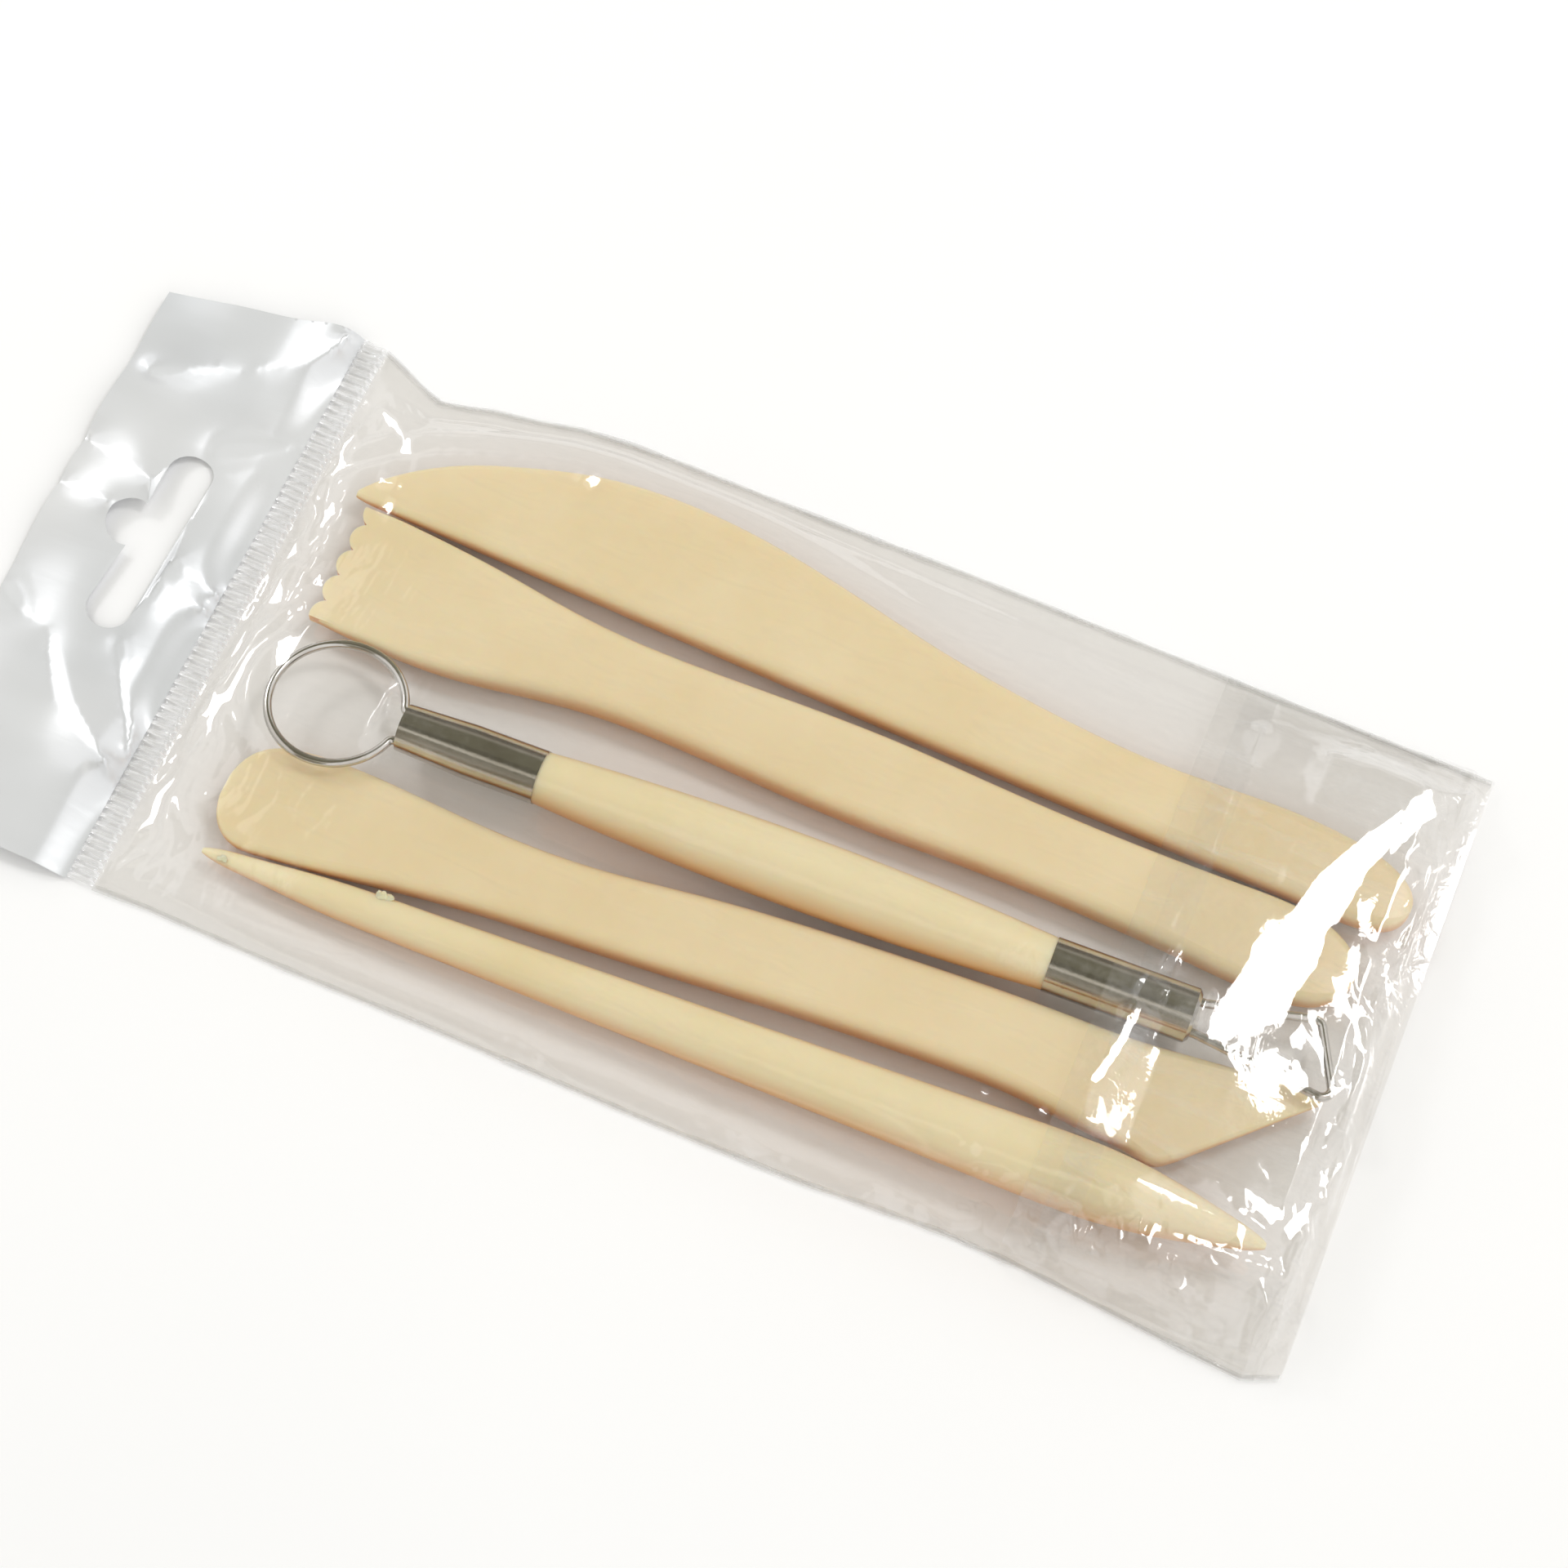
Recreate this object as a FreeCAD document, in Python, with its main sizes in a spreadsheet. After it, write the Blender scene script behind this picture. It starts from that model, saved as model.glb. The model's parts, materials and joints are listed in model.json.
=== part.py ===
"""A set of clay shaping tools lying in a clear pouch with a hanging header.

The pouch lies on its back. X runs along the pouch from the hanging header (-X) to
the mouth with its closing flap (+X), Y runs across it and Z is up. All outlines are
written in pouch coordinates: x = 0 is the outer edge line of the header seal and
y = 0 the near side edge. The finished sub-parts are then shifted by the origin, so
that the row's origin is the bottom centre of the whole object.
"""
import FreeCAD, Part
import os
from math import pi, sin, sqrt, tan

import Sketcher
from FreeCAD import Placement, Rotation, Vector

DOC = FreeCAD.newDocument("clay_tool_set")
SHEET = DOC.addObject("Spreadsheet::Sheet", "Sizes")

# Driving dimensions in millimetres and degrees: name, value, what it is.
DIMENSIONS = [
    ("pouch_width", 87.5, "side edge to side edge"),
    ("fold_at", 164.6, "fold line at the mouth, from the seal's edge line"),
    ("fold_gap", 0.2, "room on the fold line"),
    ("fold_outside", 165.0, "outer face of the mouth fold at its foot"),
    ("fold_reach", 5.0, "block that trims the fold to the films, along the pouch"),
    ("film", 0.4, "film thickness, thickened from the real 0.05 mm"),
    ("seam_width", 0.9, "side seam bead"),
    ("seal_start", -1.4, "header side of the crimped seal"),
    ("seal_end", 2.4, "pouch side of the crimped seal"),
    ("seal_height", 0.7, "crimped band with all its layers"),
    ("header_end", -28.2, "outer edge of the header"),
    ("header_gap", 1.0, "fold line between header and seal"),
    ("slot_at", -13.4, "centre line of the hanging slot"),
    ("slot_middle", 47.0, "middle of the hanging slot across the pouch"),
    ("slot_length", 28.0, "end to end"),
    ("slot_radius", 3.1, "rounded ends, half the slot's width"),
    ("notch_radius", 3.4, "hook notch in the slot's outer side"),
    ("notch_at", -17.4, "centre of the hook notch along the pouch"),
    ("notch_middle", 48.3, "centre of the hook notch across the pouch"),
    ("pocket_start", 3.0, "where the front film leaves the seal"),
    ("pocket_full", 8.6, "where the front film reaches its full height"),
    ("mouth_at", 161.6, "free edge of the front film"),
    ("ridge_height", 10.7, "front film's underside over the round tools"),
    ("shoulder_height", 5.9, "front film's underside beyond the knife"),
    ("ridge_near", 9.3, "start of the ridge across the pouch"),
    ("ridge_far", 40.5, "end of the ridge across the pouch"),
    ("shoulder_far", 81.5, "end of the slope over the flat tools"),
    ("flap_end", 127.0, "free edge of the closing flap"),
    ("flap_lift", 0.3, "room between front film and flap"),
    ("knuckle_at", 162.1, "bend line between mouth fold and flap"),
    ("knuckle_gap", 0.3, "room on each side of the bend line"),
    ("tape_start", 130.0, "adhesive tape under the flap"),
    ("tape_width", 4.4, "adhesive tape"),
    ("tape_thickness", 0.1, "adhesive tape"),
    ("tape_inset", 12.0, "tape end to side edge"),
    ("clearance", 0.2, "tool to film"),
    ("corner", 0.42, "edge rounding of the flat tools, part of their thickness"),
    ("tooth_radius", 2.25, "rounded lobes of the toothed end"),
    ("tooth_pitch", 4.1, "lobe to lobe"),
    ("tooth_at", 13.6, "centres of the lobes along the pouch"),
    ("tooth_first", 45.3, "centre of the nearest lobe"),
    ("tooth_thickness", 1.7, "toothed edge"),
    ("comb_margin", 0.2, "blade beside the comb's outer lobes"),
    ("handle_length", 69.7, "visible length of the loop tool's handle"),
    ("handle_belly", 4.8, "largest radius of the loop tool's handle"),
    ("handle_end", 3.5, "radius of the handle where the ferrules start"),
    ("tenon_radius", 3.3, "handle inside the ferrules"),
    ("tenon_length", 10.0, "handle inside the ferrules"),
    ("ferrule_radius", 3.65, "outside"),
    ("ferrule_wall", 0.3, "sheet metal tube"),
    ("ferrule_length", 19.4, "each ferrule"),
    ("ferrule_nose", 3.2, "outer radius at the ring end"),
    ("nose_round", 0.5, "rolled shoulder of the triangle ferrule"),
    ("nose_flare", 0.05, "bore at the rolled shoulder, wider than the roll alone leaves it"),
    ("plug_inset", 0.3, "plug below the ring ferrule's mouth"),
    ("wire_radius", 0.6, "loop wire"),
    ("wire_spread", 2.25, "wire legs from the tool's axis inside the ferrule"),
    ("wire_depth", 8.0, "wire legs inside the ferrule"),
    ("ring_radius", 8.95, "ring's centre line"),
    ("leg_round", 0.8, "bend where the ring's wire enters the ferrule"),
    ("triangle_round", 1.3, "bends of the triangle's wire"),
    ("loop_roll", -6.0, "loop tool rolled about its length"),
    ("loop_yaw", 2.1, "loop tool turned in the pouch"),
    ("loop_at", 49.9, "start of the loop tool's handle along the pouch"),
    ("loop_middle", 35.0, "start of the loop tool's handle across the pouch"),
    ("loop_height", 5.4, "axis of the loop tool"),
    ("point_yaw", 1.7, "pointed tool turned in the pouch"),
    ("point_pitch", 1.47, "pointed tool's rise towards its thick end"),
    ("point_at", 13.6, "thin tip of the pointed tool along the pouch"),
    ("point_middle", 9.45, "thin tip of the pointed tool across the pouch"),
    ("point_height", 2.5, "thin tip's axis above the table"),
]

# Flat tools: distance along the pouch, near edge, far edge and thickness.
KNIFE = [
    (9.2, 63.35, 64.4, 1.1),
    (10.6, 63.1, 66.1, 1.5),
    (14.0, 62.95, 69.2, 2.0),
    (20.0, 62.8, 73.0, 2.6),
    (28.0, 62.55, 76.2, 3.1),
    (38.0, 62.2, 79.0, 3.5),
    (50.0, 61.75, 80.1, 3.8),
    (62.0, 61.35, 79.3, 4.0),
    (76.0, 60.85, 76.7, 4.3),
    (92.0, 60.35, 73.2, 4.6),
    (108.0, 59.9, 70.9, 4.8),
    (124.0, 59.5, 69.9, 4.8),
    (140.0, 59.15, 70.5, 4.4),
    (150.0, 58.95, 69.9, 3.9),
    (156.0, 59.3, 68.3, 3.4),
    (158.6, 60.6, 66.6, 3.0),
    (159.7, 62.6, 64.8, 2.4),
]
TOOTHED = [
    (13.0, 44.3, 62.3, 1.75),
    (19.0, 43.9, 62.15, 2.3),
    (26.0, 43.75, 61.5, 2.95),
    (34.0, 44.3, 60.5, 3.7),
    (42.0, 45.6, 59.3, 4.45),
    (50.0, 46.7, 58.5, 4.8),
    (60.0, 47.1, 58.3, 4.9),
    (74.0, 46.6, 58.7, 4.9),
    (90.0, 46.2, 58.9, 4.9),
    (105.0, 46.6, 58.3, 4.9),
    (122.0, 46.5, 57.9, 4.7),
    (138.0, 45.7, 58.2, 4.2),
    (148.0, 45.5, 58.0, 3.6),
    (153.2, 46.9, 56.3, 3.1),
    (155.3, 49.0, 54.3, 2.6),
    (156.0, 50.8, 52.6, 2.1),
]
SPATULA = [
    (12.4, 16.6, 20.4, 1.3),
    (12.9, 14.9, 22.2, 1.5),
    (14.2, 12.9, 24.3, 1.8),
    (16.6, 11.5, 25.9, 2.1),
    (20.5, 11.45, 26.8, 2.5),
    (27.0, 12.2, 27.2, 3.0),
    (36.0, 13.6, 26.9, 3.7),
    (48.0, 15.3, 26.4, 4.4),
    (60.0, 16.3, 26.8, 4.8),
    (76.0, 17.6, 29.0, 4.9),
    (94.0, 19.2, 30.9, 4.9),
    (110.0, 20.2, 32.1, 4.8),
    (123.0, 20.3, 32.7, 4.4),
    (133.0, 19.4, 33.1, 3.4),
    (138.0, 18.95, 33.6, 2.8),
    (141.0, 18.7, 34.0, 2.4),
    (142.6, 19.8, 34.2, 2.25),
    (146.5, 23.6, 34.7, 1.9),
    (150.0, 27.0, 35.1, 1.6),
    (153.5, 30.5, 35.3, 1.25),
    (156.0, 32.9, 35.4, 1.0),
    (157.3, 34.2, 35.3, 0.8),
]
# Pointed tool: distance from the thin tip and radius.
POINTED = [
    (0.0, 0.35),
    (1.4, 0.75),
    (6.5, 1.35),
    (16.5, 2.2),
    (28.0, 2.6),
    (46.5, 3.05),
    (66.5, 3.55),
    (86.5, 4.05),
    (104.0, 4.5),
    (116.0, 4.75),
    (122.0, 4.65),
    (128.0, 4.05),
    (133.5, 3.1),
    (138.5, 2.0),
    (142.0, 1.05),
    (143.4, 0.4),
]
# Triangle loop, from the ferrule's nose: along the tool and across it.
TRIANGLE = [(0.7, 2.25), (15.1, 5.7), (19.7, -4.8), (0.7, -2.25)]
TEETH = 5

ACROSS = Rotation(Vector(1, 1, 1), 120)  # sketch X to +Y, sketch Y to +Z
ALONG = Rotation(Vector(0, 1, 0), 90)  # primitive +Z to +X
ORIGIN_X = "(Sizes.fold_outside + Sizes.header_end) / 2"
PARTS = []
LEAST_CUT = 1  # mm3 that a slot's cut has to take away


def fill_sheet():
    """Write every driving dimension and tool section into the spreadsheet."""
    rows = [("name", "value", "meaning")]
    rows += DIMENSIONS
    for tool, stations in (("knife", KNIFE), ("toothed", TOOTHED), ("spatula", SPATULA)):
        for i, values in enumerate(stations):
            for word, value in zip(("along", "near", "far", "thick"), values):
                rows.append((f"{tool}_{word}_{i}", value, f"{tool} section {i}"))
    for i, (along, radius) in enumerate(POINTED):
        rows.append((f"pointed_along_{i}", along, f"pointed tool section {i}"))
        rows.append((f"pointed_radius_{i}", radius, f"pointed tool section {i}"))
    for row, (name, value, meaning) in enumerate(rows, 1):
        SHEET.set(f"A{row}", name)
        SHEET.set(f"B{row}", str(value))
        SHEET.set(f"C{row}", meaning)
        if row > 1:
            SHEET.setAlias(f"B{row}", name)
    DOC.recompute()


def size(expression):
    """The value of an expression on the sheet's aliases, written as Sizes.alias."""
    return float(SHEET.evalExpression(expression))


def bind(thing, **expressions):
    """Drive an object's properties from the sheet."""
    for name, expression in expressions.items():
        thing.setExpression(name.replace("__", "."), expression)
    return thing


def put(thing, label, x="0", y="0", z="0", turn=None):
    """Name a finished sub-part and place it, from pouch coordinates, in the row's frame."""
    thing.Label = label
    thing.Placement = Placement(Vector(), turn or Rotation())
    thing.setExpression("Placement.Base.x", f"{x} - {ORIGIN_X}")
    thing.setExpression("Placement.Base.y", f"{y} - Sizes.pouch_width / 2")
    thing.setExpression("Placement.Base.z", z)
    PARTS.append(thing)
    return thing


def box(name, x, y, z, length, width, height):
    """A box whose corner and sides are expressions on the sheet."""
    solid = DOC.addObject("Part::Box", name)
    bind(solid, Length=length, Width=width, Height=height)
    return bind(solid, Placement__Base__x=x, Placement__Base__y=y, Placement__Base__z=z)


def cylinder(name, x, y, z, radius, height):
    """An upright cylinder whose place and size are expressions on the sheet."""
    solid = DOC.addObject("Part::Cylinder", name)
    bind(solid, Radius=radius, Height=height)
    return bind(solid, Placement__Base__x=x, Placement__Base__y=y, Placement__Base__z=z)


def fused(name, solids):
    """One boolean fusion of several solids."""
    result = DOC.addObject("Part::MultiFuse", name)
    result.Shapes = solids
    return result


def combined(kind, name, base, tool):
    """A Part::Cut or Part::Common of two solids."""
    result = DOC.addObject(kind, name)
    result.Base = base
    result.Tool = tool
    return result


def polygon_sketch(sketch, corners, arc=None):
    """A closed outline whose corners are pairs of expressions on the sheet.

    Its sides are straight, apart from the one that arc names with its radius.
    """
    places = [Vector(size(u), size(v), 0) for u, v in corners]
    for i, place in enumerate(places):
        after = places[(i + 1) % len(places)]
        if arc and i == arc[0]:
            radius = size(arc[1])
            half = (after - place).Length / 2
            middle = (place + after) / 2 + Vector(0, radius - sqrt(radius**2 - half**2), 0)
            sketch.addGeometry(Part.Arc(place, middle, after))
        else:
            sketch.addGeometry(Part.LineSegment(place, after))
    for i in range(len(places)):
        sketch.addConstraint(Sketcher.Constraint("Coincident", i, 2, (i + 1) % len(places), 1))
    for i, (corner, place) in enumerate(zip(corners, places)):
        for kind, value, expression in zip(("DistanceX", "DistanceY"), place, corner):
            index = sketch.addConstraint(Sketcher.Constraint(kind, i, 1, value))
            sketch.setExpression(f"Constraints[{index}]", expression)
    if arc:
        index = sketch.addConstraint(Sketcher.Constraint("Radius", arc[0], size(arc[1])))
        sketch.setExpression(f"Constraints[{index}]", arc[1])
    return sketch


def rounded_section(name, tool, i):
    """Section i of a flat tool: a rectangle with rounded corners, square to its length."""
    sketch = DOC.addObject("Sketcher::SketchObject", name)
    sketch.Placement = Placement(Vector(), ACROSS)
    sketch.setExpression("Placement.Base.x", f"Sizes.{tool}_along_{i}")
    near, far = size(f"Sizes.{tool}_near_{i}"), size(f"Sizes.{tool}_far_{i}")
    half = size(f"Sizes.{tool}_thick_{i}") / 2
    radius = 2 * half * size("Sizes.corner")
    inner_near, inner_far, inner_half = near + radius, far - radius, half - radius
    sides = [
        ((inner_near, -half), (inner_far, -half)),
        ((far, -inner_half), (far, inner_half)),
        ((inner_far, half), (inner_near, half)),
        ((near, inner_half), (near, -inner_half)),
    ]
    centres = [
        (inner_far, -inner_half, -pi / 2),
        (inner_far, inner_half, 0),
        (inner_near, inner_half, pi / 2),
        (inner_near, -inner_half, pi),
    ]
    for start, end in sides:
        sketch.addGeometry(Part.LineSegment(Vector(*start, 0), Vector(*end, 0)))
    for u, v, first in centres:
        circle = Part.Circle(Vector(u, v, 0), Vector(0, 0, 1), radius)
        quarter = Part.ArcOfCircle(circle, first, first + pi / 2)
        sketch.addGeometry(quarter)
    for side in range(4):
        arc = 4 + side
        sketch.addConstraint(Sketcher.Constraint("Tangent", side, 2, arc, 1))
        sketch.addConstraint(Sketcher.Constraint("Tangent", arc, 2, (side + 1) % 4, 1))
        direction = "Vertical" if side % 2 else "Horizontal"
        sketch.addConstraint(Sketcher.Constraint(direction, side))
        if side:
            sketch.addConstraint(Sketcher.Constraint("Equal", 4, arc))
    thick = f"Sizes.{tool}_thick_{i}"
    driven = [
        (Sketcher.Constraint("Radius", 4, radius), f"{thick} * Sizes.corner"),
        (Sketcher.Constraint("DistanceY", 0, 1, -half), f"-{thick} / 2"),
        (Sketcher.Constraint("DistanceY", 2, 1, half), f"{thick} / 2"),
        (Sketcher.Constraint("DistanceX", 3, 1, near), f"Sizes.{tool}_near_{i}"),
        (Sketcher.Constraint("DistanceX", 1, 1, far), f"Sizes.{tool}_far_{i}"),
    ]
    for constraint, expression in driven:
        index = sketch.addConstraint(constraint)
        sketch.setExpression(f"Constraints[{index}]", expression)
    return sketch


def loft(name, sections, ruled=False):
    """A solid through a row of closed sections."""
    solid = DOC.addObject("Part::Loft", name)
    solid.Sections = sections
    solid.Solid = True
    solid.Ruled = ruled
    return solid


def flat_tool(tool, stations):
    """A moulded flat tool, lofted through its sections about its own mid plane."""
    sections = [rounded_section(f"{tool}_section_{i}", tool, i) for i in range(len(stations))]
    return loft(f"{tool}_loft", sections)


def rest_height(stations):
    """Mid plane of a flat tool that lies on the rear film on its thickest stretch."""
    thickest = max(thickness for _, _, _, thickness in stations)
    return f"Sizes.film + Sizes.clearance + {thickest} / 2"


def turned(name, profile, arc=None):
    """A PartDesign body revolved about X from a closed half profile of expressions.

    arc names the side of the profile that is an arc, and its radius.
    """
    body = DOC.addObject("PartDesign::Body", name)
    sketch = body.newObject("Sketcher::SketchObject", f"{name}_profile")
    planes = {f.Role: f for f in body.Origin.OriginFeatures}
    sketch.AttachmentSupport = (planes["XY_Plane"], [""])
    sketch.MapMode = "FlatFace"
    polygon_sketch(sketch, profile, arc)
    revolution = body.newObject("PartDesign::Revolution", f"{name}_turn")
    revolution.Profile = sketch
    revolution.ReferenceAxis = (sketch, ["H_Axis"])
    revolution.Angle = 360
    return body


def film_line(lift="0", rise="1"):
    """Corners of the front film's underside across the pouch, from seam to seam.

    lift raises the whole line, and rise scales its height: 0 for flat on the rear film,
    1 for its full height over the tools.
    """
    base = f"(Sizes.film + {lift})"
    high = f"({base} + {rise} * (Sizes.ridge_height - Sizes.film))"
    low = f"({base} + {rise} * (Sizes.shoulder_height - Sizes.film))"
    return [
        ("Sizes.seam_width", base),
        ("Sizes.ridge_near", high),
        ("Sizes.ridge_far", high),
        ("Sizes.shoulder_far", low),
        ("Sizes.pouch_width - Sizes.seam_width", base),
    ]


def film_wire(name, at, lift="0", rise="1"):
    """Section of the front film or the flap at one place along the pouch."""
    under = film_line(lift, rise)
    over = [(u, f"{v} + Sizes.film") for u, v in reversed(under)]
    sketch = DOC.addObject("Sketcher::SketchObject", name)
    sketch.Placement = Placement(Vector(), ACROSS)
    sketch.setExpression("Placement.Base.x", at)
    return polygon_sketch(sketch, under + over)


def rounded_path(points, radius):
    """Edges along points, with an arc of the given radius at every inner point."""
    edges = []
    start = points[0]
    for before, corner, after in zip(points, points[1:], points[2:]):
        back = (before - corner).normalize()
        ahead = (after - corner).normalize()
        half = back.getAngle(ahead) / 2
        reach = radius / tan(half)
        middle = corner + (back + ahead).normalize() * (radius / sin(half) - radius)
        first, last = corner + back * reach, corner + ahead * reach
        edges.append(Part.LineSegment(start, first))
        edges.append(Part.Arc(first, middle, last))
        start = last
    edges.append(Part.LineSegment(start, points[-1]))
    return edges


def wire_sweep(name, edges):
    """Round wire along a flat path that starts parallel to X."""
    path = DOC.addObject("Sketcher::SketchObject", f"{name}_path")
    for edge in edges:
        path.addGeometry(edge)
    start = edges[0].StartPoint
    profile = DOC.addObject("Part::Circle", f"{name}_profile")
    profile.Placement = Placement(start, ALONG)
    bind(profile, Radius="Sizes.wire_radius")
    sweep = DOC.addObject("Part::Sweep", f"{name}_sweep")
    sweep.Sections = [profile]
    sweep.Spine = (path, [f"Edge{i + 1}" for i in range(len(edges))])
    sweep.Solid = True
    return sweep


def make_pouch():
    """The pouch's films, seams, seal, header, fold, flap and tape."""
    width = "Sizes.pouch_width"
    rear_length = "Sizes.fold_at - Sizes.fold_gap - Sizes.seal_end"
    rear = box("rear_box", "0", "0", "0", rear_length, width, "Sizes.film")
    put(rear, "rear_film", x="Sizes.seal_end")

    seal_length = "Sizes.seal_end - Sizes.seal_start"
    seal = box("seal_box", "0", "0", "0", seal_length, width, "Sizes.seal_height")
    put(seal, "header_seal", x="Sizes.seal_start")

    seam_length = "Sizes.mouth_at - Sizes.seal_end"
    for side, y in (("near", "0"), ("far", "Sizes.pouch_width - Sizes.seam_width")):
        bead = box(f"{side}_bead", "0", "0", "0", seam_length, "Sizes.seam_width", "Sizes.film")
        put(bead, f"side_seam_{side}", x="Sizes.seal_end", y=y, z="Sizes.film")

    sections = [
        film_wire("front_start", "Sizes.pocket_start", rise="0"),
        film_wire("front_full", "Sizes.pocket_full"),
        film_wire("front_mouth", "Sizes.mouth_at"),
    ]
    put(loft("front_loft", sections, ruled=True), "front_film")

    make_header()
    make_mouth_fold()

    lift = "Sizes.film + Sizes.flap_lift"
    sections = [
        film_wire("flap_edge", "Sizes.flap_end", lift),
        film_wire("flap_knuckle", "Sizes.knuckle_at - Sizes.knuckle_gap", lift),
    ]
    put(loft("flap_loft", sections, ruled=True), "closure_flap")

    make_tape()


def make_mouth_fold():
    """Steep film wall that closes the mouth, from the fold line up to the flap."""
    foot, top = "Sizes.fold_at", "Sizes.knuckle_at + Sizes.knuckle_gap"
    low, high = "Sizes.film", "Sizes.ridge_height + Sizes.film + Sizes.flap_lift / 2"
    wall = DOC.addObject("Sketcher::SketchObject", "fold_side")
    wall.Placement = Placement(Vector(), Rotation(Vector(1, 0, 0), 90))
    outline = [(foot, low), (f"{foot} + Sizes.film", low), (f"{top} + Sizes.film", high), (top, high)]
    polygon_sketch(wall, outline)
    slab = extruded("fold_slab", wall, Vector(0, 1, 0), "Sizes.pouch_width")

    front = DOC.addObject("Sketcher::SketchObject", "fold_front")
    front.Placement = Placement(Vector(), ACROSS)
    front.setExpression("Placement.Base.x", "Sizes.knuckle_at")
    corners = film_line("Sizes.film + Sizes.flap_lift / 2")
    for end in (0, -1):
        corners[end] = (corners[end][0], low)
    polygon_sketch(front, corners)
    block = extruded("fold_block", front, Vector(1, 0, 0), "Sizes.fold_reach")
    put(combined("Part::Common", "fold_wall", slab, block), "mouth_fold")


def extruded(name, sketch, direction, length):
    """A solid pushed out from a sketch."""
    solid = DOC.addObject("Part::Extrusion", name)
    solid.Base = sketch
    solid.DirMode = "Custom"
    solid.Dir = direction
    solid.Solid = True
    return bind(solid, LengthFwd=length)


def make_header():
    """Hanging header with its slot and hook notch."""
    body = DOC.addObject("PartDesign::Body", "header_body")
    planes = {f.Role: f for f in body.Origin.OriginFeatures}

    def sketch_on_base(name):
        sketch = body.newObject("Sketcher::SketchObject", name)
        sketch.AttachmentSupport = (planes["XY_Plane"], [""])
        sketch.MapMode = "FlatFace"
        return sketch

    inner = "Sizes.seal_start - Sizes.header_gap"
    outer = "Sizes.header_end"
    near, far = "0", "Sizes.pouch_width"
    outline = sketch_on_base("header_outline")
    polygon_sketch(outline, [(outer, near), (inner, near), (inner, far), (outer, far)])
    pad = body.newObject("PartDesign::Pad", "header_pad")
    pad.Profile = outline
    bind(pad, Length="Sizes.film")
    DOC.recompute()

    reach = "(Sizes.slot_length / 2 - Sizes.slot_radius)"
    ends = [("Sizes.slot_at", f"Sizes.slot_middle {sign} {reach}") for sign in "+-"]
    notch = ("Sizes.notch_at", "Sizes.notch_middle")
    holes = [(*end, "Sizes.slot_radius") for end in ends] + [(*notch, "Sizes.notch_radius")]
    for i, (x, y, radius) in enumerate(holes):
        sketch = sketch_on_base(f"slot_round_{i}")
        centre = Vector(size(x), size(y), 0)
        sketch.addGeometry(Part.Circle(centre, Vector(0, 0, 1), size(radius)))
        for kind, value, expression in (
            ("DistanceX", centre.x, x),
            ("DistanceY", centre.y, y),
        ):
            index = sketch.addConstraint(Sketcher.Constraint(kind, 0, 3, value))
            sketch.setExpression(f"Constraints[{index}]", expression)
        index = sketch.addConstraint(Sketcher.Constraint("Radius", 0, size(radius)))
        sketch.setExpression(f"Constraints[{index}]", radius)
        cut_through(body, sketch)
    left, right = (f"Sizes.slot_at {sign} Sizes.slot_radius" for sign in "-+")
    low, high = (f"Sizes.slot_middle {sign} {reach}" for sign in "-+")
    middle = sketch_on_base("slot_straight")
    polygon_sketch(middle, [(left, low), (right, low), (right, high), (left, high)])
    cut_through(body, middle)
    put(body, "hanging_header")


def cut_through(body, sketch):
    """Pocket a sketch on the base plane right through the sheet above it."""
    pocket = body.newObject("PartDesign::Pocket", f"{sketch.Name}_cut")
    pocket.Profile = sketch
    pocket.Type = "ThroughAll"
    pocket.Reversed = True
    before = body.Shape.Volume
    DOC.recompute()
    if not body.Shape.Volume < before - LEAST_CUT:
        raise RuntimeError(f"{sketch.Name} cut nothing")


def make_tape():
    """Adhesive tape under the flap's free edge, as wide as the ridge of the pouch."""
    length = "Sizes.ridge_far - Sizes.tape_inset"
    flap_underside = "Sizes.ridge_height + Sizes.film + Sizes.flap_lift"
    tape = box("tape_box", "0", "0", "0", "Sizes.tape_width", length, "Sizes.tape_thickness")
    put(
        tape,
        "adhesive_tape",
        x="Sizes.tape_start",
        y="Sizes.tape_inset",
        z=f"{flap_underside} - Sizes.tape_thickness",
    )


def make_flat_tools():
    """Knife, toothed tool and spatula."""
    put(flat_tool("knife", KNIFE), "knife_tool", z=rest_height(KNIFE))

    blade = flat_tool("toothed", TOOTHED)
    half = "Sizes.tooth_thickness / 2"
    lobes = []
    for i in range(TEETH):
        y = f"Sizes.tooth_first + {i} * Sizes.tooth_pitch"
        lobes.append(
            cylinder(
                f"lobe_{i}",
                "Sizes.tooth_at",
                y,
                f"-{half}",
                "Sizes.tooth_radius",
                "Sizes.tooth_thickness",
            )
        )
    edge = box(
        "lobe_limit",
        "Sizes.tooth_at - 2 * Sizes.tooth_radius",
        "Sizes.toothed_near_0 + Sizes.comb_margin",
        f"-{half}",
        "3 * Sizes.tooth_radius",
        "Sizes.toothed_far_0 - Sizes.toothed_near_0 - 2 * Sizes.comb_margin",
        "Sizes.tooth_thickness",
    )
    comb = combined("Part::Common", "comb", fused("lobes", lobes), edge)
    put(fused("toothed_fuse", [blade, comb]), "toothed_tool", z=rest_height(TOOTHED))

    put(flat_tool("spatula", SPATULA), "spatula_tool", z=rest_height(SPATULA))


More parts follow.
